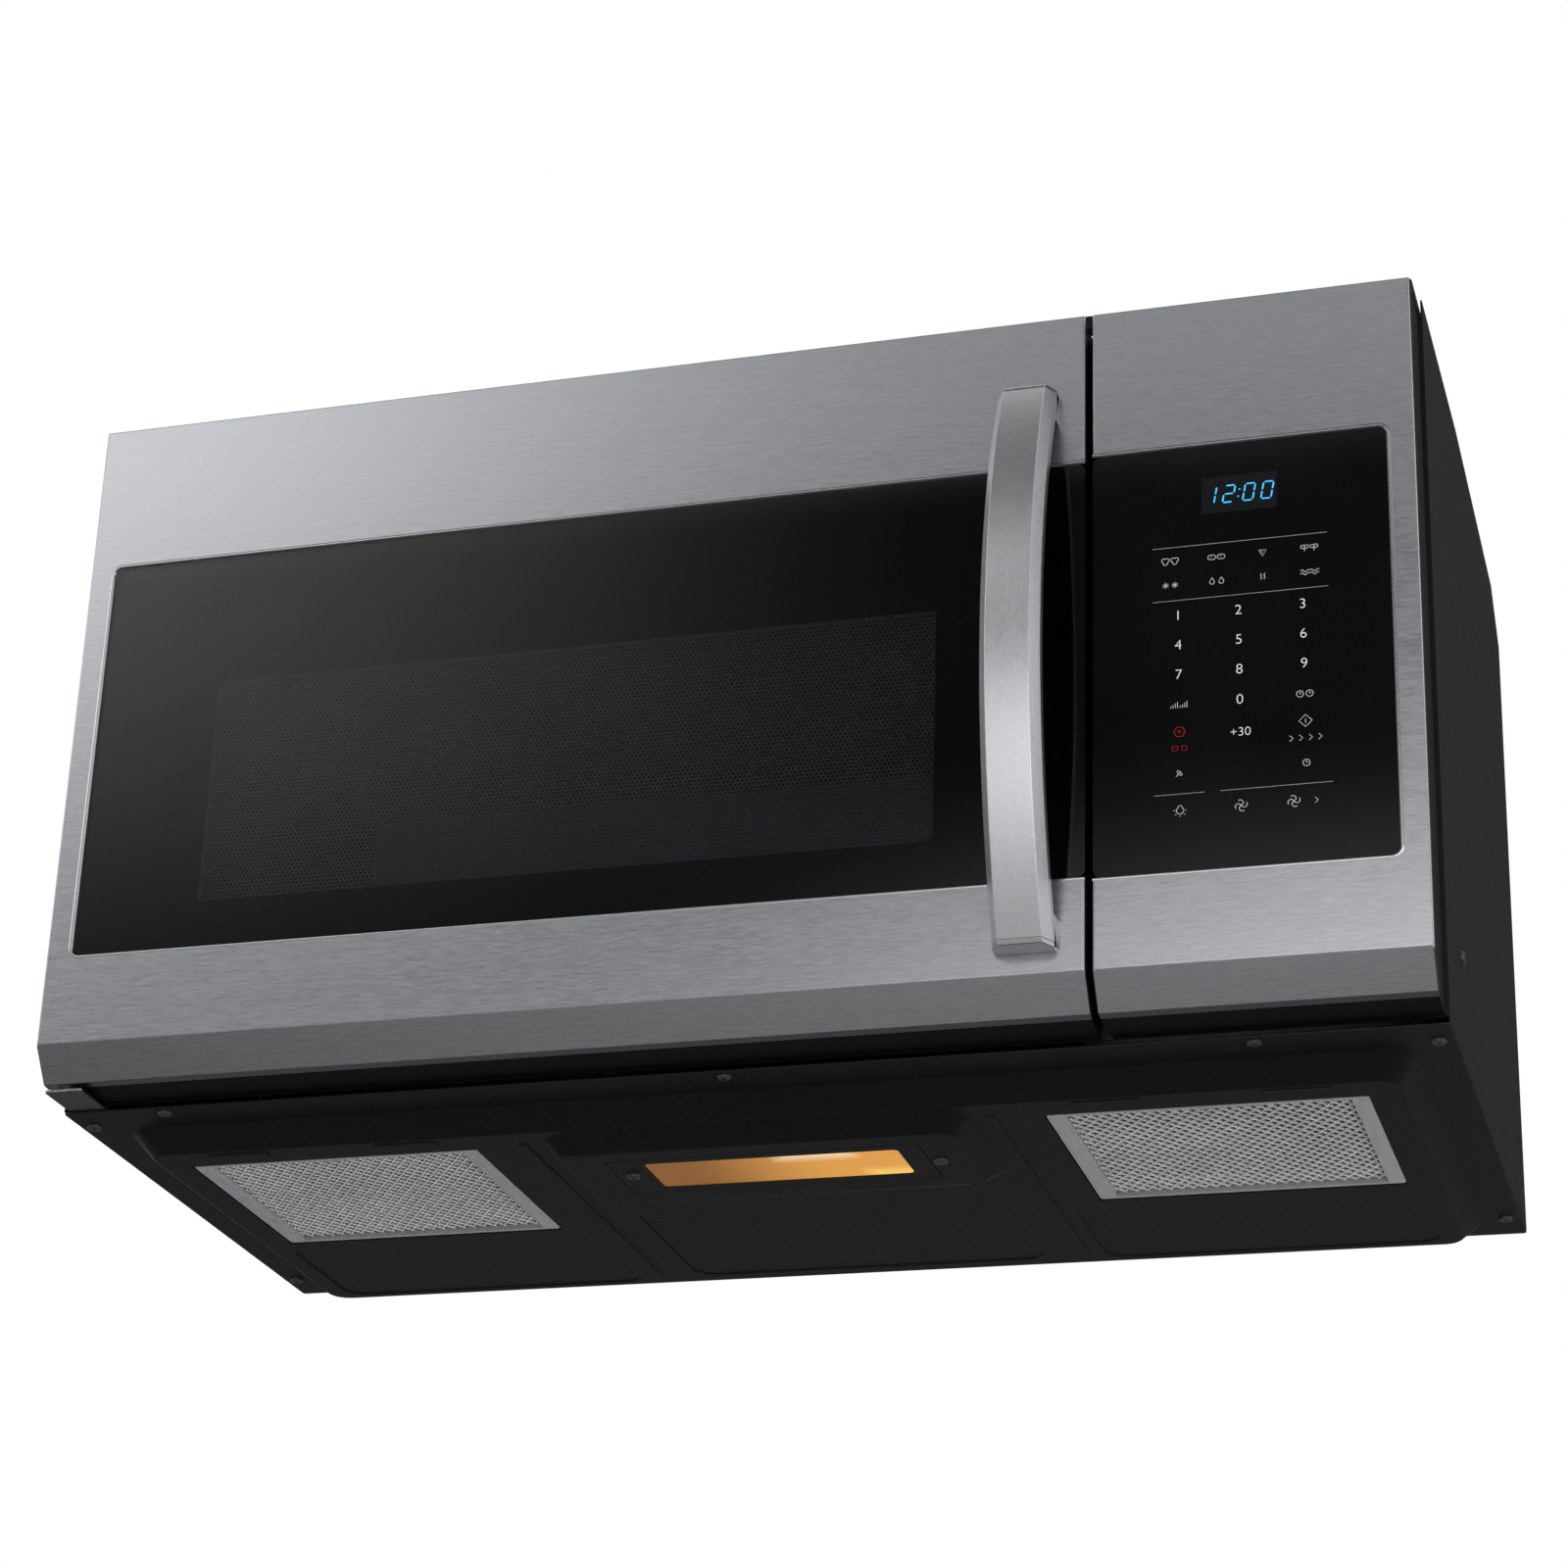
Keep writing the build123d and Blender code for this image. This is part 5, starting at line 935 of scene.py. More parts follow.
def stand_for(piece: bpy.types.Object, node: str) -> None:
    """Lets a piece stand for a CAD node and ride on that node's body."""
    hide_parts(node)
    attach(piece, body(node))


# ---------------------------------------------------------------- fasteners


@dataclass
class Fasteners:
    """Pan-head screws of the case and the base, each with a cross recess."""

    head_r: float = 4.0
    head_h: float = 1.8
    head_round: float = 0.9
    sides: int = 28
    shank_r: float = 1.7
    shank_l: float = 2.4
    cross_l: float = 3.8
    cross_w: float = 0.7
    cross_floor: float = 0.7
    rear_head: float = 2.2
    first_turn: float = 0.4
    next_turn: float = 1.1
    rim: tuple[Point, ...] = (
        (-322.0, 52.0, 0.5), (0.0, 52.0, 0.5), (280.0, 52.0, 0.5), (371.0, 66.0, 0.0), (371.0, 360.0, 0.0),
        (-371.0, 66.0, 0.0), (-371.0, 360.0, 0.0), (94.0, 147.0, -20.0), (-79.0, 143.0, -20.0))
    side: Pair = (104.5, 58.4)
    rear: tuple[Pair, ...] = tuple((x, h) for x in (-330.0, 0.0, 330.0) for h in (14.0, 402.0))

    def pattern(self) -> bpy.types.Object:
        """Models one screw head on the origin, pointing up, with its short shank below.

        Returns:
            The screw, to be copied.
        """
        head = drum("screw_pattern", Vector(), UP, self.head_r * MM, self.head_h * MM, self.sides)
        pick_faces(head, lambda centre, normal: normal.z > 0.9)
        bpy.ops.mesh.bevel(offset=self.head_round * MM, segments=3, affect="EDGES")
        bpy.ops.object.mode_set(mode="OBJECT")
        foot, sunk = Vector((0, 0, -self.shank_l * MM)), 0.1
        shank = drum("screw_shank", foot, UP, self.shank_r * MM, (self.shank_l + sunk) * MM, 12)
        corner = Vector((self.cross_l / 2, self.cross_w / 2, self.head_h + 2.2)) * MM
        for turn in (0.0, math.pi / 2):
            cutter = block("cross_cutter", Vector((-corner.x, -corner.y, self.cross_floor * MM)), corner)
            cutter.data.transform(Matrix.Rotation(turn, 4, "Z"))
            cut_away(head, cutter)
        head = join("screw_pattern", [head, shank])
        hold(head)
        bpy.ops.object.shade_smooth_by_angle(angle=math.radians(35))
        return head

    def spread(self, name: str, node: str, seats: Sequence[tuple[Vector, Vector]]) -> None:
        """Copies the screw to its seats as one piece.

        Args:
            name: Name of the piece.
            node: CAD node that it stands for.
            seats: Place and outward direction of each screw.
        """
        pattern = self.pattern()
        copies = []
        for number, (place, direction) in enumerate(seats):
            turn = UP.rotation_difference(direction).to_matrix().to_4x4()
            spin = Matrix.Rotation(self.first_turn + self.next_turn * number, 4, "Z")
            copies.append(copy_at(pattern, f"{name}_{number}", Matrix.Translation(place) @ turn @ spin))
        drop(pattern)
        group = join(name, copies)
        dress(group, BLACK_SCREW.make())
        stand_for(group, node)
        LOG.info("%s: %d screws", name, len(seats))

    def build(self) -> None:
        """Builds the screws of the base and of the case."""
        down, rearward = Vector((0, 0, -1)), Vector((0, 1, 0))
        self.spread("base_screw_heads", "base_screws", [(at(*place), down) for place in self.rim])
        seats = [(at(side * HALF_WIDTH, *self.side), Vector((side, 0, 0))) for side in (-1, 1)]
        seats += [(at(x, FRONT_TO_WALL - self.rear_head, height), rearward) for x, height in self.rear]
        self.spread("case_screw_heads", "case_screws", seats)


# ---------------------------------------------------------------- case and base


@dataclass
class CaseShell:
    """Painted side panels of the case and its sheet-metal base."""

    edge: float = 0.35

    def build(self) -> None:
        """Softens the sheet edges and paints them."""
        for node in ("case_side_left", "case_side_right"):
            dress(soften(node, self.edge), BLACK_PAINT.make())
        dress(soften("base_pan", self.edge, 2, 20.0), BASE_PAINT.make())
        LOG.info("case sides and base pan painted")


@dataclass
class GreaseFilters:
    """Two framed filters of layered expanded aluminium under the base.

    Each layer is a net of zigzag strands. Neighbouring strands meet at their turns, so that they leave
    diamond holes, and each strand twists between its turns, as slit and drawn metal does.

    Attributes:
        pitch_x: Width of a diamond.
        pitch_d: Length of a diamond.
        strand_w: Width of a strand.
        strand_t: Thickness of a strand.
        twist: Lean of the strand between its turns, in degrees.
        shift: Offset of each layer, from the lowest.
        thinner: Strand width of the upper layer as a share of the lower one's.
        edge: Gap between the net and its field's edge.
        frame_edge: Rounding of the frame's edges.
    """

    pitch_x: float = 6.4
    pitch_d: float = 9.0
    strand_w: float = 1.05
    strand_t: float = 0.3
    twist: float = 52.0
    shift: tuple[Pair, ...] = ((0.0, 0.0), (1.6, 2.2))
    thinner: float = 0.4
    edge: float = 0.4
    frame_edge: float = 0.5

    def strand(self, name: str, length: float, width: float) -> bpy.types.Object:
        """Draws one zigzag strand along Y from the origin.

        Args:
            name: Name of the strand.
            length: Length in metres.
            width: Width in millimetres.

        Returns:
            The strand, as a thin ribbon.
        """
        steps = math.ceil(length / (self.pitch_d * MM / 4))
        rest()
        bpy.ops.mesh.primitive_grid_add(x_subdivisions=1, y_subdivisions=steps, size=1.0,
                                        location=(0, 0.5, 0))
        ribbon = bpy.context.object
        ribbon.name = name
        settle(ribbon)
        for vertex in ribbon.data.vertices:
            row = round(vertex.co.y * steps)
            lean = math.radians(self.twist) * (0, 1, 0, -1)[row % 4]
            middle = self.pitch_x / 4 * (-1, 0, 1, 0)[row % 4]
            side = math.copysign(width / 2, vertex.co.x)
            along = row * self.pitch_d / 4
            vertex.co = Vector((middle + side * math.cos(lean), along, side * math.sin(lean))) * MM
        thick = ribbon.modifiers.new("thick", "SOLIDIFY")
        thick.thickness = self.strand_t * MM
        finish_modifier(ribbon, "thick")
        return ribbon

    def layer(self, name: str, low: Vector, high: Vector, height: float, number: int) -> bpy.types.Object:
        """Lays strands side by side and cuts the net to the frame.

        Args:
            name: Name of the layer.
            low: Lowest corner of the mesh field.
            high: Highest corner of the mesh field.
            height: Z of the layer's middle.
            number: Which layer, from the lowest; the upper ones are thinner and shifted.

        Returns:
            The net.
        """
        shift, width = self.shift[number], self.strand_w * (self.thinner if number else 1.0)
        pattern = self.strand(name + "_strand", high.y - low.y + 2 * self.pitch_d * MM, width)
        strands = []
        count = math.ceil((high.x - low.x) / (self.pitch_x * MM / 2)) + 2
        for row in range(count):
            x = low.x + (row * self.pitch_x / 2 - shift[0]) * MM
            y = low.y - (self.pitch_d * (0.0, 0.5)[row % 2] + shift[1]) * MM
            strands.append(copy_at(pattern, f"{name}_{row}", Matrix.Translation((x, y, height))))
        drop(pattern)
        net = join(name, strands)
        for plane_co, plane_no in ((low, Vector((-1, 0, 0))), (high, Vector((1, 0, 0))),
                                   (low, Vector((0, -1, 0))), (high, Vector((0, 1, 0)))):
            hold(net)
            bpy.ops.object.mode_set(mode="EDIT")
            bpy.ops.mesh.select_all(action="SELECT")
            bpy.ops.mesh.bisect(plane_co=plane_co, plane_no=plane_no, clear_outer=True, use_fill=False)
            bpy.ops.object.mode_set(mode="OBJECT")
        return net

    def build(self) -> None:
        """Builds both meshes and softens both frames."""
        for side in ("left", "right"):
            node = "filter_mesh_" + side
            low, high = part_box(node)
            inset = Vector((self.edge, self.edge, 0)) * MM
            reach = (self.strand_w / 2 * math.sin(math.radians(self.twist)) + self.strand_t) * MM
            heights = (low.z + reach, high.z - reach)
            nets = [self.layer(f"net_{side}_{number}", low + inset, high - inset, height, number)
                    for number, height in enumerate(heights)]
            piece = join("filter_net_" + side, nets)
            dress(piece, MESH_WIRE.make())
            stand_for(piece, node)
            dress(soften("filter_frame_" + side, self.frame_edge), ALUMINIUM.make())
            LOG.info("%s grease filter: %d faces of net", side, len(piece.data.polygons))


@dataclass
class CooktopLamp:
    """The lamp under the base, and the oven's own lamp: prism lens, cover and the two bulbs."""

    cover_edge: float = 0.25
    bulb: Glow = Glow("lit_bulb_glass", "#ffd9a0", 1.5)
    oven_bulb: Glow = Glow("cavity_bulb_glass", "#fff0d8", 0.2)

    def build(self) -> None:
        """Dresses the lamps' pieces."""
        dress(node_piece("lamp_lens"), PrismLens().make())
        dress(soften("lamp_bulb", 0.0), self.bulb.make())
        dress(soften("cavity_lamp", 0.0), self.oven_bulb.make())
        dress(soften("lamp_cover", self.cover_edge), BASE_PAINT.make())
        LOG.info("cooktop lamp dressed")


# ---------------------------------------------------------------- rolled edges


@dataclass(frozen=True)
class RolledEdge:
    """The steel's rolled edge round a glass opening: a rounded step from the face down to the glass.

    Attributes:
        x: Left and right of the opening.
        height: Bottom and top of the opening.
        end: Edge of the skin where the opening runs out, as x.
        kept: 1 if the roll lies to the right of that edge, -1 if to the left.
        corner: Corner radius of the opening.
        inner: How far the roll reaches over the glass.
        steps: Width and rise of each stretch of the roll, from the face inwards.
        sheet: Thickness of its metal.
    """

    x: Pair
    height: Pair
    end: float
    kept: int
    corner: float = 5.0
    inner: float = 0.5
    steps: tuple[Pair, ...] = ((0.5, 0.22), (0.5, 0.08), (0.4, -0.08), (0.3, -0.3), (0.4, -0.85))
    sheet: float = 0.12

    def build(self, name: str, node: str) -> None:
        """Models the roll.

        Args:
            name: Name of the roll.
            node: The skin that carries it.
        """
        width = sum(step for step, _ in self.steps) - self.inner
        low = at(self.x[0] - width, 0, self.height[0] - width)
        high = at(self.x[1] + width, 0, self.height[1] + width)
        roll = rounded_sheet(name, low, high, self.corner + width, 8)
        bpy.ops.mesh.select_mode(type="FACE")
        bpy.ops.mesh.select_all(action="SELECT")
        for step, rise in self.steps:
            bpy.ops.mesh.inset(thickness=step * MM, depth=rise * MM)
        bpy.ops.mesh.delete(type="ONLY_FACE")
        bpy.ops.mesh.select_all(action="SELECT")
        bpy.ops.mesh.bisect(plane_co=at(self.end, 0, 0), plane_no=(-self.kept, 0, 0), clear_outer=True)
        bpy.ops.object.mode_set(mode="OBJECT")
        metal = roll.modifiers.new("metal", "SOLIDIFY")
        metal.thickness = self.sheet * MM
        metal.offset = -1
        finish_modifier(roll, "metal")
        shade(roll)
        dress(roll, ROLLED_STEEL.make())
        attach(roll, body(node))
        LOG.info("%s: %d faces", name, len(roll.data.polygons))


# ---------------------------------------------------------------- door


@dataclass
class Door:
    """Left-hinged door: brushed skin with its rolled edge, printed glass and perforated screen."""

    window_x: Pair = (-308.0, 123.0)
    window_h: Pair = (104.0, 254.5)
    window_r: float = 6.0
    glass_x: float = -363.6
    glass_h: Pair = (75.8, 315.5)
    glass_back: float = 4.2
    end_x: float = 203.8
    run_out: float = 40.0
    skin_edge: float = 0.5
    print_gap: float = 0.01
    print_t: float = 0.04
    print_edge: float = 0.3
    cut_reach: float = 3.0
    hole_edge: float = 2.0

    def printed_border(self) -> bpy.types.Object:
        """Makes the black print on the back of the glass, a thin sheet with the window open in it.

        Returns:
            The print.
        """
        low, high = (Vector(corner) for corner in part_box("door_glass"))
        near = at(0, self.glass_back + self.print_gap, 0).y
        edge = Vector((self.print_edge, 0, self.print_edge)) * MM
        low.y, high.y = near, near + self.print_t * MM
        sheet = block("door_glass_print", low + edge, high - edge)
        corners = [at(self.window_x[k], self.glass_back - self.cut_reach, self.window_h[k]) for k in (0, 1)]
        opening = rounded_sheet("window_cutter", *corners, self.window_r, 6)
        through = {"value": (0, 2 * self.cut_reach * MM, 0)}
        bpy.ops.mesh.extrude_region_move(TRANSFORM_OT_translate=through)
        bpy.ops.mesh.select_all(action="SELECT")
        bpy.ops.mesh.normals_make_consistent(inside=False)
        bpy.ops.object.mode_set(mode="OBJECT")
        cut_away(sheet, opening)
        return sheet

    def build(self) -> None:
        """Builds the door's visible pieces."""
        dress(soften("door_skin", self.skin_edge, 3), FRONT_STEEL.make())
        opening = (self.glass_x, self.end_x + self.run_out)
        RolledEdge(opening, self.glass_h, self.end_x, -1).build("door_rolled_edge", "door_skin")
        dress(node_piece("door_glass"), ClearGlass("tinted_door_glass", "#b4b6bb").make())
        border = self.printed_border()
        dress(border, FRIT.make())
        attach(border, body("door_glass"))
        holes_x, holes_h = ((low + self.hole_edge, high - self.hole_edge)
                            for low, high in (self.window_x, self.window_h))
        dress(node_piece("door_screen"), PerforatedSheet(holes_x, holes_h).make())
        LOG.info("door dressed")


@dataclass
class Handle:
    """Bowed bar with bevelled long edges and a bright cap at each end."""

    bar_edge: float = 0.35
    cap_edge: float = 0.4
    rounded_above: float = 18.0

    def build(self) -> None:
        """Softens the bar and its caps."""
        dress(soften("handle_bar", self.bar_edge, 2, self.rounded_above), BAR_STEEL.make())
        dress(soften("handle_caps", self.cap_edge, 3, self.rounded_above), CHROME.make())
        LOG.info("handle dressed")


# ---------------------------------------------------------------- keypad


Stroke = tuple[Pair, ...]


def polar(radius: float, angle: float, x: float = 0.0, y: float = 0.0) -> Pair:
    """Point at a radius and an angle in degrees about x, y."""
    return x + radius * math.cos(math.radians(angle)), y + radius * math.sin(math.radians(angle))


def ring(radius: float, x: float = 0.0, y: float = 0.0, start: float = 0.0, sweep: float = 360.0,
         steps: int = 16) -> Stroke:
    """Points of an arc about x, y, for a printed stroke.

    Args:
        radius: Radius of the arc.
        x: Its middle.
        y: Its middle.
        start: Angle of its first point in degrees.
        sweep: Degrees from its first to its last point.
        steps: Number of stretches.

    Returns:
        The points.
    """
    return tuple(polar(radius, start + sweep * k / steps, x, y) for k in range(steps + 1))


def ripple(middle: float) -> Stroke:
    """Points of a small wave at a height."""
    return tuple((0.32 * k - 1.6, 0.45 * math.sin(0.9 * k) + middle) for k in range(11))


class Sign(Enum):
    """Plain pictograms of the keypad, as strokes in millimetres about their middle."""

    KERNEL = (ring(0.8, -0.6, 0.5, 30, 230, 8), ring(0.8, 0.6, 0.5, -80, 230, 8),
              ring(0.8, 0.0, -0.6, 160, 220, 8))
    ROOT = (ring(0.9, -0.5, 0.0, 90, 180, 8) + ring(0.9, 0.5, 0.0, -90, 180, 8) + ((-0.5, 0.9),),
            ((-0.3, 0.2), (0.1, 0.2)))
    SLICE = (((-1.3, 0.9), (1.3, 0.9), (0.0, -1.5), (-1.3, 0.9)), ((-0.3, 0.1), (0.1, 0.1)))
    SPROUT = (((0.0, -1.3), (0.0, 0.1)), ring(0.7, -0.7, 0.5, -10, 330, 9), ring(0.7, 0.7, 0.5, 190, 330, 9))
    FLAKE = tuple((polar(1.2, angle), polar(-1.2, angle)) for angle in (30, 90, 150))
    DROP = (((0.0, 1.4), (-0.8, 0.1)) + ring(0.85, 0.0, -0.35, 150, 240, 8) + ((0.0, 1.4),),)
    STEAM = tuple(((x, -1.2), (x + 0.4, -0.4), (x, 0.4), (x + 0.4, 1.2)) for x in (-0.9, 0.3))
    WAVE = (ripple(0.5), ripple(-0.7))
    LEVEL = tuple(((x, -1.2), (x, top)) for x, top in ((-1.2, -0.4), (-0.4, 0.1), (0.4, 0.7), (1.2, 1.2)))
    TIMER = (ring(1.25), ((0.0, 0.8), (0.0, 0.0), (0.6, 0.0)))
    LEAF = (ring(1.8, -0.9, -0.9, 0, 90, 8) + ring(1.8, 0.9, 0.9, 180, 90, 8), ((-1.3, -1.3), (0.4, 0.4)))
    CHEVRON = (((-0.6, 1.1), (0.6, 0.0), (-0.6, -1.1)),)
    BLOCK = (((-0.9, 0.9), (0.9, 0.9), (0.9, -0.9), (-0.9, -0.9), (-0.9, 0.9)),)
    LAMP = (ring(1.9, 0.0, -0.2, 120, 300, 14), ((-0.9, 1.4), (-0.8, 2.5), (0.8, 2.5), (0.9, 1.4)),
            ((-3.4, -0.1), (-2.7, -0.1)), ((3.4, -0.1), (2.7, -0.1)), ((-2.5, -2.5), (-2.0, -2.0)),
            ((2.5, -2.5), (2.0, -2.0)), ((0.0, -3.5), (0.0, -2.8)))
    FAN = tuple(ring(1.6, *polar(1.6, angle), angle + 180, 200, 10) for angle in (20, 110, 200, 290))
    HALT = (ring(3.0, steps=6), ((-1.1, 0.7), (1.1, 0.7), (0.0, -1.1), (-1.1, 0.7)))
    GO = (ring(3.4, steps=4), ((0.0, 1.1), (0.0, -1.1)))


class Ink(Enum):
    """Printing colours of the keypad."""

    WHITE = MARK_WHITE
    RED = MARK_RED


@dataclass(frozen=True)
class Row:
    """A short row of one small pictogram.

    Attributes:
        sign: The pictogram.
        count: How often it stands in the row.
        x: Middle of the row.
        height: Height of the row.
        ink: Its colour.
    """

    sign: Sign
    count: int
    x: float
    height: float
    ink: Ink = Ink.WHITE


@dataclass
class Keypad:
    """Control panel front: brushed skin, black glass, printed keys and the lit clock."""

    face_depth: float = 1.0
    glass_x: float = 363.7
    glass_h: Pair = (74.6, 318.2)
    end_x: float = 207.8
    run_out: float = 40.0
    skin_edge: float = 0.5
    proud: float = 0.03
    line_w: float = 0.16
    sign_w: float = 0.32
    icon_w: float = 0.34
    column_x: tuple[float, ...] = (252.8, 284.3, 317.6)
    digit_rows: tuple[tuple[str, float], ...] = (("123", 219.1), ("456", 202.1), ("789", 185.1))
    zero_h: float = 167.9
    digit_tall: float = 5.6
    digit_thin: float = 0.09
    cap_share: float = 0.7
    plus: tuple[str, float, float] = ("+30", 149.6, 4.9)
    label_x: tuple[float, ...] = (248.9, 273.3, 297.5, 321.7)
    label_h: Pair = (251.3, 237.3)
    rules: tuple[tuple[float, ...], ...] = (
        (239.6, 331.0, 259.3), (239.6, 331.0, 228.1), (239.5, 265.5, 117.8), (273.6, 330.7, 117.8))
    rows: tuple[Row, ...] = (
        Row(Sign.LEVEL, 2, 252.8, 168.0), Row(Sign.TIMER, 2, 317.6, 168.0),
        Row(Sign.CHEVRON, 4, 317.6, 143.4), Row(Sign.LEAF, 1, 252.8, 129.5),
        Row(Sign.TIMER, 1, 317.6, 129.4), Row(Sign.CHEVRON, 1, 322.2, 108.4),
        Row(Sign.BLOCK, 2, 253.0, 143.4, Ink.RED))
    icons: tuple[tuple[Sign, float, float, Ink], ...] = (
        (Sign.HALT, 253.0, 152.7, Ink.RED), (Sign.GO, 317.6, 152.8, Ink.WHITE),
        (Sign.LAMP, 252.9, 108.8, Ink.WHITE), (Sign.FAN, 284.1, 108.7, Ink.WHITE),
        (Sign.FAN, 310.8, 108.7, Ink.WHITE))
    sign_pitch: float = 4.9
    sign_scale: float = 1.45
    clock: str = "12:00"
    clock_middle: Pair = (285.8, 287.8)
    clock_cells: tuple[float, ...] = (-15.2, -5.4, -0.1, 5.2, 14.8)
    clock_tall: float = 9.8
    clock_slant: float = 0.18
    clock_glow: Glow = Glow("lit_clock", "#38b4ea", 1.0)
    colon_h: Pair = (-2.4, 1.7)
    colon_tall: float = 0.7
    bar_w: float = 0.85

    def labels(self) -> list[Row]:
        """Lists the rows of small pictograms, those of the cooking keys first.

        Returns:
            The rows.
        """
        upper = ((Sign.KERNEL, 2), (Sign.ROOT, 2), (Sign.SLICE, 1), (Sign.SPROUT, 2))
        lower = ((Sign.FLAKE, 2), (Sign.DROP, 2), (Sign.STEAM, 1), (Sign.WAVE, 2))
        return [Row(sign, count, x, height) for signs, height in zip((upper, lower), self.label_h)
                for (sign, count), x in zip(signs, self.label_x)] + list(self.rows)

    def stroke(self, points: Stroke, x: float, height: float, width: float,
               scale: float = 1.0) -> bpy.types.Object:
        """Prints one line: a round path, flattened onto the glass.

        Args:
            points: Path about the mark's middle, in millimetres.
            x: Middle of the mark.
            height: Middle of the mark.
            width: Width of the line in millimetres.
            scale: Size of the mark against its drawing.

        Returns:
            The printed line as a mesh at the origin.
        """
        rest()
        bpy.ops.curve.primitive_nurbs_path_add()
        line = bpy.context.object
        line.data.splines.clear()
        spline = line.data.splines.new("POLY")
        spline.points.add(len(points) - 1)
        for knot, (right, high) in zip(spline.points, points):
            knot.co = (right * scale * MM, high * scale * MM, 0.0, 1.0)
        line.data.dimensions = "3D"
        line.data.bevel_depth = width * MM / 2
        line.data.bevel_resolution = 0
        line.data.use_fill_caps = True
        hold(line)
        bpy.ops.object.convert(target="MESH")
        flat = Matrix.Diagonal((1.0, 1.0, self.proud * 2 / width, 1.0))
        line = bpy.context.object
        line.data.transform(self.stand(x, self.face_depth, height) @ flat)
        return line

    def stand(self, x: float, depth: float, height: float) -> Matrix:
        """Turn and move that stand a flat mark up on the glass."""
        return Matrix.Translation(at(x, depth, height)) @ Matrix.Rotation(math.pi / 2, 4, "X")

    def figure(self, text: str, x: float, height: float, tall: float) -> bpy.types.Object:
        """Prints plain numerals.

        Args:
            text: Numerals and a plus sign only.
            x: Middle of the text.
            height: Middle of the text.
            tall: Height of a numeral in millimetres.

        Returns:
            The numerals as a mesh at the origin.
        """
        rest()
        bpy.ops.object.text_add()
        figures = bpy.context.object
        figures.data.body = text
        figures.data.align_x = "CENTER"
        figures.data.align_y = "CENTER"
        figures.data.size = tall / self.cap_share * MM
        figures.data.extrude = self.proud * MM / 2
        figures.data.offset = -self.digit_thin * MM
        hold(figures)
        bpy.ops.object.convert(target="MESH")
        figures = bpy.context.object
        figures.data.transform(self.stand(x, self.face_depth - self.proud / 2, height))
        return figures

    def segments(self) -> list[bpy.types.Object]:
        """Lays out the lit bars of the clock's four figures and its colon, leaning to the right.

        Returns:
            The bars and the colon's dots.
        """
        lit = {"0": "abcdef", "1": "bc", "2": "abged"}
        half, side, gap = self.clock_tall / 2, self.clock_tall * 0.27, self.bar_w * 0.62
        ends = {"a": ((-side, half), (side, half)), "b": ((side, half), (side, 0)),
                "c": ((side, 0), (side, -half)), "d": ((-side, -half), (side, -half)),
                "e": ((-side, 0), (-side, -half)), "f": ((-side, half), (-side, 0)),
                "g": ((-side, 0), (side, 0))}
        pieces = []
        for cell, sign in zip(self.clock_cells, self.clock):
            x, height = self.clock_middle[0] + cell, self.clock_middle[1]
            if sign == ":":
                dots = [((y * self.clock_slant, y), (y * self.clock_slant, y + self.colon_tall))
                        for y in self.colon_h]
                pieces += [self.stroke(dot, x, height, self.bar_w) for dot in dots]
                continue
            for bar in lit[sign]:
                first, last = (Vector(end) for end in ends[bar])
                trim = (last - first).normalized() * gap
                path = tuple((end.x + end.y * self.clock_slant, end.y) for end in (first + trim, last - trim))
                pieces.append(self.stroke(path, x, height, self.bar_w))
        return pieces

    def marks(self) -> dict[Ink, list[bpy.types.Object]]:
        """Prints every key mark and rule.

        Returns:
            The printed lines and numerals of each ink.
        """
        inked: dict[Ink, list[bpy.types.Object]] = {Ink.WHITE: [], Ink.RED: []}
        white = inked[Ink.WHITE]
        middle_x = self.column_x[1]
        for row, height in self.digit_rows:
            white += [self.figure(digit, x, height, self.digit_tall) for digit, x in zip(row, self.column_x)]
        white.append(self.figure("0", middle_x, self.zero_h, self.digit_tall))
        white.append(self.figure(self.plus[0], middle_x, *self.plus[1:]))
        for left, right, height in self.rules:
            middle = (left + right) / 2
            white.append(self.stroke(((left - middle, 0), (right - middle, 0)), middle, height, self.line_w))
        for row in self.labels():
            for number in range(row.count):
                spot = row.x + (number - (row.count - 1) / 2) * self.sign_pitch
                inked[row.ink] += [self.stroke(path, spot, row.height, self.sign_w, self.sign_scale)
                                   for path in row.sign.value]
        for sign, x, height, ink in self.icons:
            inked[ink] += [self.stroke(path, x, height, self.icon_w) for path in sign.value]
        return inked

    def build(self) -> None:
        """Dresses the panel and prints its marks."""
        dress(soften("control_skin", self.skin_edge, 3), FRONT_STEEL.make())
        opening = (self.end_x - self.run_out, self.glass_x)
        RolledEdge(opening, self.glass_h, self.end_x, 1).build("panel_rolled_edge", "control_skin")
        dress(node_piece("control_glass"), PanelGlass().make())
        for ink, lines in self.marks().items():
            piece = join("key_marks_" + ink.name.lower(), lines)
            dress(piece, ink.value.make())
            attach(piece, body("control_glass"))
            LOG.info("%s: %d marks", piece.name, len(lines))
        digits = join("clock_figures", self.segments())
        dress(digits, self.clock_glow.make())
        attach(digits, body("control_glass"))


# ---------------------------------------------------------------- inside


@dataclass
class Inside:
    """Pieces that keep their packed form: the working parts, the oven, the frames, top and rear."""

    tray_glass: ClearGlass = ClearGlass("turntable_glass", "#dfeeea", 0.04)

    def build(self) -> None:
        """Gives each of them its finish."""
        for finish, nodes in FINISH_NODES.items():
            for node in nodes:
                dress(node_piece(node), finish.make())
            LOG.info("%s: %s", finish.name, ", ".join(nodes))
        dress(node_piece("glass_tray"), self.tray_glass.make())


# ---------------------------------------------------------------- studio


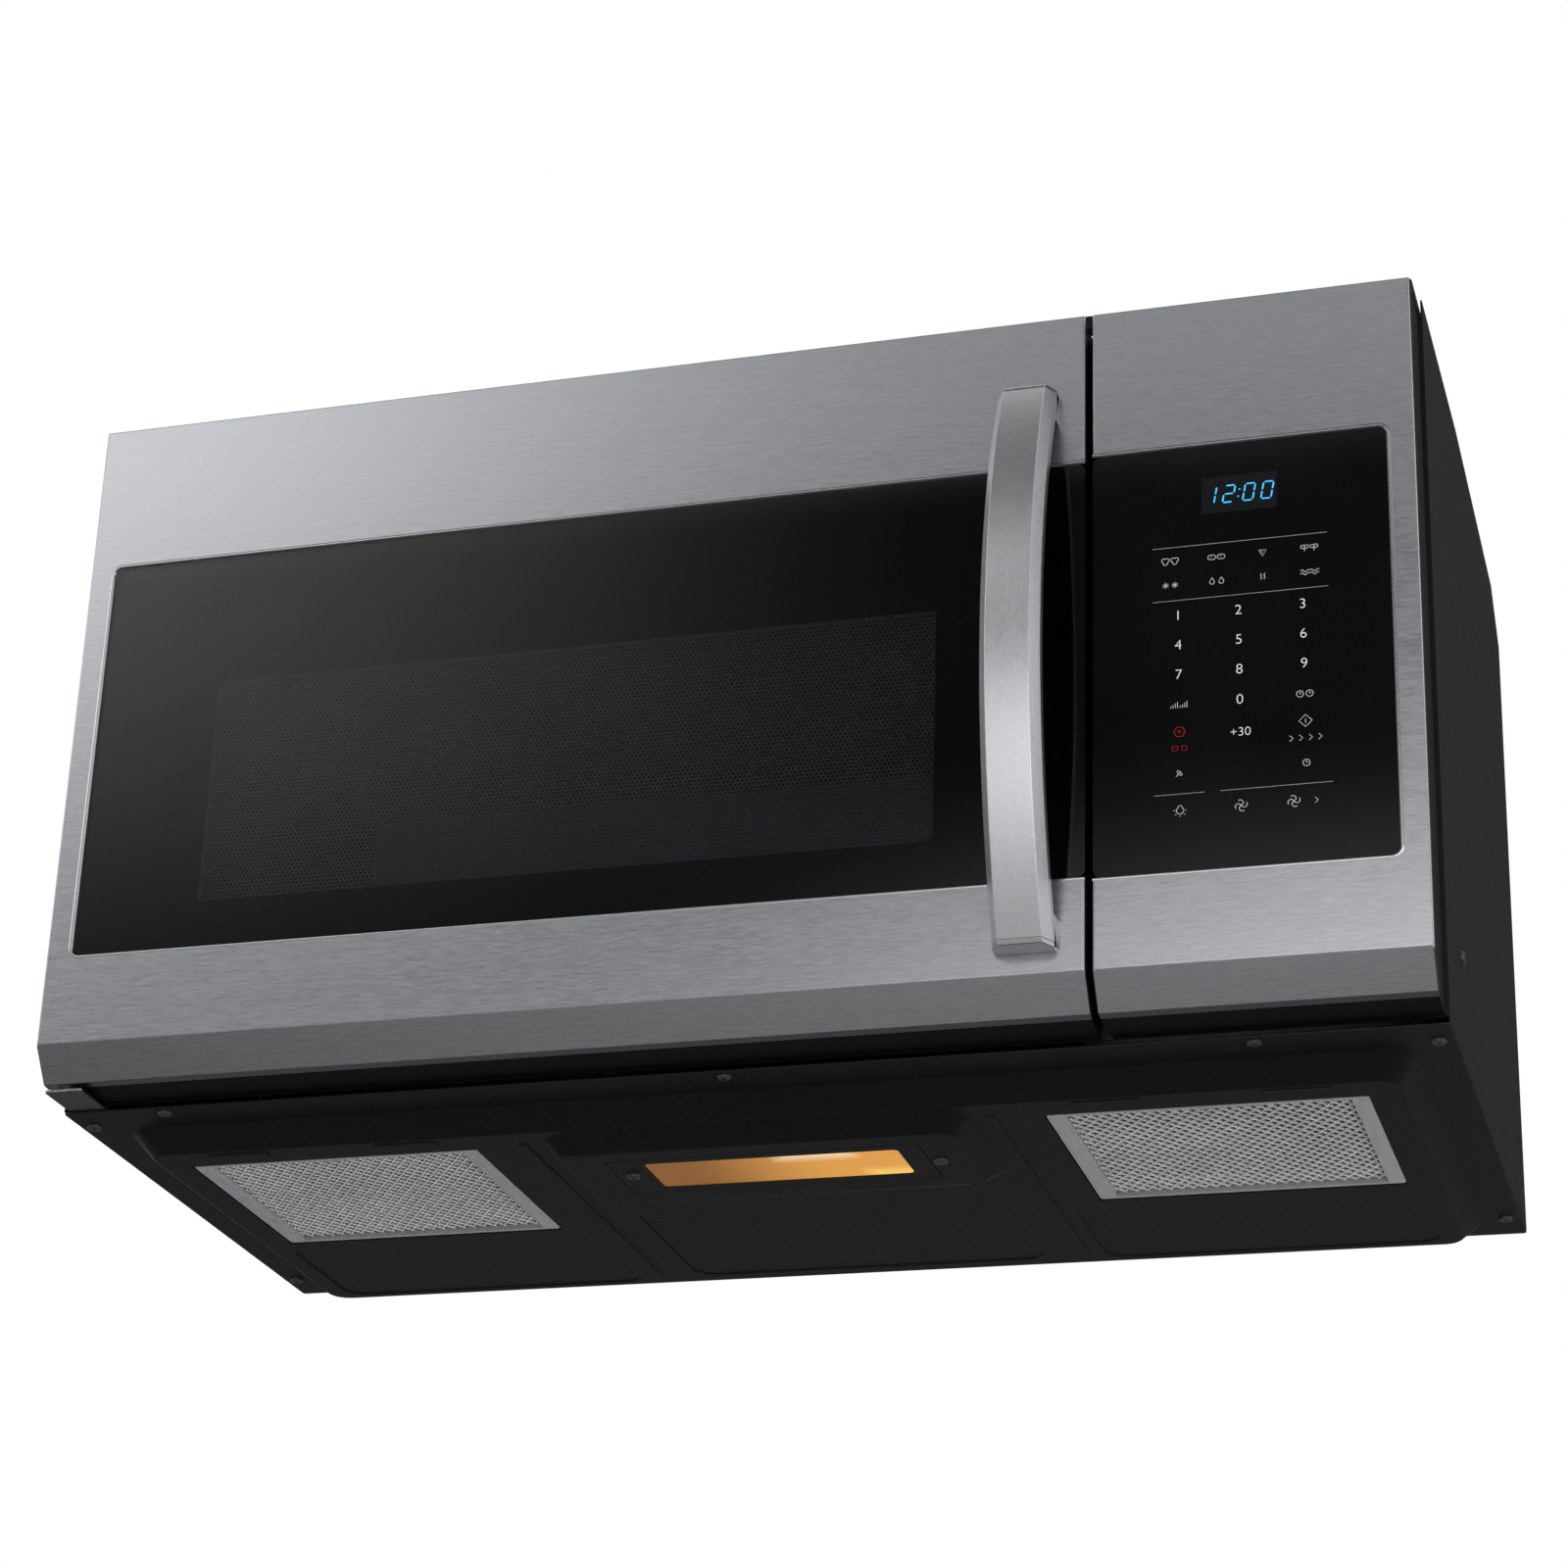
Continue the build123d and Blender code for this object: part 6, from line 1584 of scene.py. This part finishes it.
@dataclass(frozen=True)
class Sweep:
    """A soft change of brightness across a studio card, as two smooth steps that multiply.

    Attributes:
        across: Start and end of the step along the card's first axis, in metres.
        along: Start and end of the step along its second axis.
        bright: Brightness that is added where both steps are full.
    """

    across: Pair
    along: Pair
    bright: float


@dataclass(frozen=True)
class Card:
    """A large studio card that only shows as a reflection in metal, glass and paint.

    Attributes:
        name: Name of the card.
        middle: Its middle in metres.
        size: Width and height in metres.
        tilt: Turn about X in degrees: 90 faces the appliance's front or back, 0 lies flat.
        ground: Brightness all over.
        sweeps: Soft bright fields; the axes are x with z on an upright card and x with y on a flat one.
    """

    name: str
    middle: Point
    size: Pair
    tilt: float
    ground: float
    sweeps: tuple[Sweep, ...] = ()

    def build(self) -> None:
        """Hangs the card and hides it from all but mirror-like rays."""
        rest()
        bpy.ops.mesh.primitive_grid_add(x_subdivisions=4, y_subdivisions=4, size=1.0, location=self.middle,
                                        rotation=(math.radians(self.tilt), 0, 0))
        card = bpy.context.object
        card.name = self.name
        card.scale = (self.size[0], self.size[1], 1)
        settle(card)
        material = bpy.data.materials.new(self.name + "_light")
        material.use_nodes = True
        material.node_tree.nodes.clear()
        graph = Graph(material.node_tree)
        place = graph.add("ShaderNodeSeparateXYZ", {0: graph.place()}).outputs
        second = place[2] if self.tilt else place[1]
        light: Value = self.ground
        for sweep in self.sweeps:
            across, along = graph.ramp(place[0], *sweep.across), graph.ramp(second, *sweep.along)
            steps = graph.math("MULTIPLY", across, along)
            light = graph.math("ADD", light, graph.math("MULTIPLY", steps, sweep.bright))
        glow = graph.add("ShaderNodeEmission", {"Strength": light})
        graph.add("ShaderNodeOutputMaterial", {"Surface": glow.outputs[0]})
        dress(card, material)
        card.visible_camera = card.visible_diffuse = card.visible_shadow = False
        card.visible_volume_scatter = False


@dataclass(frozen=True)
class Lamp:
    """A soft square lamp that no mirror or glass shows.

    Attributes:
        name: Name of the lamp.
        place: Where it hangs, in metres.
        target: Point that it faces.
        size: Side of the lamp in metres.
        watts: Power.
    """

    name: str
    place: Point
    target: Point
    size: float
    watts: float

    def build(self) -> None:
        """Hangs the lamp."""
        data = bpy.data.lights.new(self.name, "AREA")
        data.size = self.size
        data.energy = self.watts
        lamp = bpy.data.objects.new(self.name, data)
        bpy.context.scene.collection.objects.link(lamp)
        lamp.visible_glossy = lamp.visible_transmission = False
        lamp.location = self.place
        aim = Vector(self.target) - Vector(self.place)
        lamp.rotation_euler = aim.to_track_quat("-Z", "Y").to_euler()


# A step that is over before the card begins, so that a sweep with it reaches right across.
EVERYWHERE = (-9.0, -8.0)


@dataclass
class Studio:
    """Plain pale floor, white surround, soft lamps and the photograph's camera."""

    camera_at: Point = (0.58155, -2.17629, -0.89911)
    right: Point = (0.95394, 0.29695, 0.04262)
    up: Point = (0.08384, -0.40029, 0.91255)
    toward_viewer: Point = (0.28804, -0.86694, -0.40675)
    lens: float = 88.97
    sensor: float = 36.0
    shift_x: float = 0.0625
    floor_z: float = -1.35
    floor_side: float = 12.0
    ambient: float = 0.45
    lamps: tuple[Lamp, ...] = (
        Lamp("key_lamp", (-1.6, -2.2, 1.5), (0, -0.3, 0), 1.2, 38.0),
        Lamp("fill_lamp", (1.8, -1.6, -0.6), (0, -0.2, -0.1), 1.4, 6.0),
        Lamp("low_lamp", (1.3, 0.7, -1.15), (0, -0.2, -0.2), 0.8, 14.0))
    cards: tuple[Card, ...] = (
        Card("front_card", (0.0, -1.5, 3.1), (7.0, 8.8), 90.0, 0.07, (
            Sweep((-0.12, -1.12), (0.2, 0.8), 1.25), Sweep((-0.12, -1.12), (1.05, 1.4), -1.2),
            Sweep(EVERYWHERE, (0.7, 0.8), 0.64), Sweep(EVERYWHERE, (1.0, 1.25), -0.64),
            Sweep((-0.5, 0.3), (0.46, 0.2), 1.25), Sweep((-0.5, 0.3), (-0.15, -0.45), -1.2),
            Sweep(EVERYWHERE, (0.36, 0.2), 0.3))),
        Card("floor_card", (0.0, -0.6, -1.3), (6.0, 5.6), 0.0, 0.07, (
            Sweep((-1.5, 0.0), (-1.0, -1.6), 0.6),)),
        Card("rear_card", (0.0, 1.4, 0.8), (6.0, 4.2), 90.0, 0.09, (Sweep((0.6, 0.2), (-0.4, 0.1), 0.5),)))

    def camera(self) -> None:
        """Places the camera."""
        data = bpy.data.cameras.new("photo_camera")
        data.lens = self.lens
        data.sensor_width = self.sensor
        data.sensor_fit = "HORIZONTAL"
        data.shift_x = self.shift_x
        data.clip_end = 50
        camera = bpy.data.objects.new("photo_camera", data)
        bpy.context.scene.collection.objects.link(camera)
        turn = Matrix([list(row) for row in zip(self.right, self.up, self.toward_viewer)])
        camera.matrix_world = Matrix.Translation(self.camera_at) @ turn.to_4x4()
        bpy.context.scene.camera = camera

    def world(self) -> None:
        """White to the camera and to mirror and glass rays, a plain soft light to the rest."""
        world = bpy.data.worlds.new("white_surround")
        bpy.context.scene.world = world
        world.use_nodes = True
        graph = Graph(world.node_tree)
        world.node_tree.nodes.clear()
        path = graph.add("ShaderNodeLightPath").outputs
        seen = graph.math("MAXIMUM", path["Is Camera Ray"], path["Is Glossy Ray"])
        seen = graph.math("MAXIMUM", seen, path["Is Transmission Ray"])
        soft = graph.add("ShaderNodeBackground", {"Color": (1.0, 1.0, 1.0, 1.0), "Strength": self.ambient})
        white = graph.add("ShaderNodeBackground", {"Color": (1.0, 1.0, 1.0, 1.0), "Strength": 1.0})
        mix = graph.add("ShaderNodeMixShader", {0: seen, 1: soft.outputs[0], 2: white.outputs[0]})
        graph.add("ShaderNodeOutputWorld", {"Surface": mix.outputs[0]})

    def floor(self) -> None:
        """Lays a pale floor below the view."""
        rest()
        bpy.ops.mesh.primitive_grid_add(x_subdivisions=8, y_subdivisions=8, size=self.floor_side,
                                        location=(0, -2, self.floor_z))
        floor = bpy.context.object
        floor.name = "studio_floor"
        settle(floor)
        material, graph, shader = new_material("pale_floor", {"Roughness": 0.8, "Specular IOR Level": 0.2})
        pale = graph.blend(cloudy(graph, 1.5), linear("#f4f4f4"), linear("#fafafa"))
        graph.feed(shader["Base Color"], pale)
        dress(floor, material)

    def build(self) -> None:
        """Sets the stage."""
        self.camera()
        self.world()
        self.floor()
        for light in self.lamps + self.cards:
            light.build()
        bpy.context.scene.view_settings.view_transform = "Standard"


def make_effects() -> None:
    """Builds each shared shader group once."""
    for make in (make_streaks, make_speckle, make_handling, make_dots, make_field):
        make()


def main() -> None:
    """Builds the pieces in order."""
    logging.basicConfig(level=logging.INFO, format="%(name)s: %(message)s")
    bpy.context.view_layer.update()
    make_effects()
    parts = (Inside(), CaseShell(), Door(), Handle(), Keypad(), Fasteners(), GreaseFilters(), CooktopLamp(),
             Studio())
    for part in parts:
        part.build()


if __name__ == "__main__":
    main()
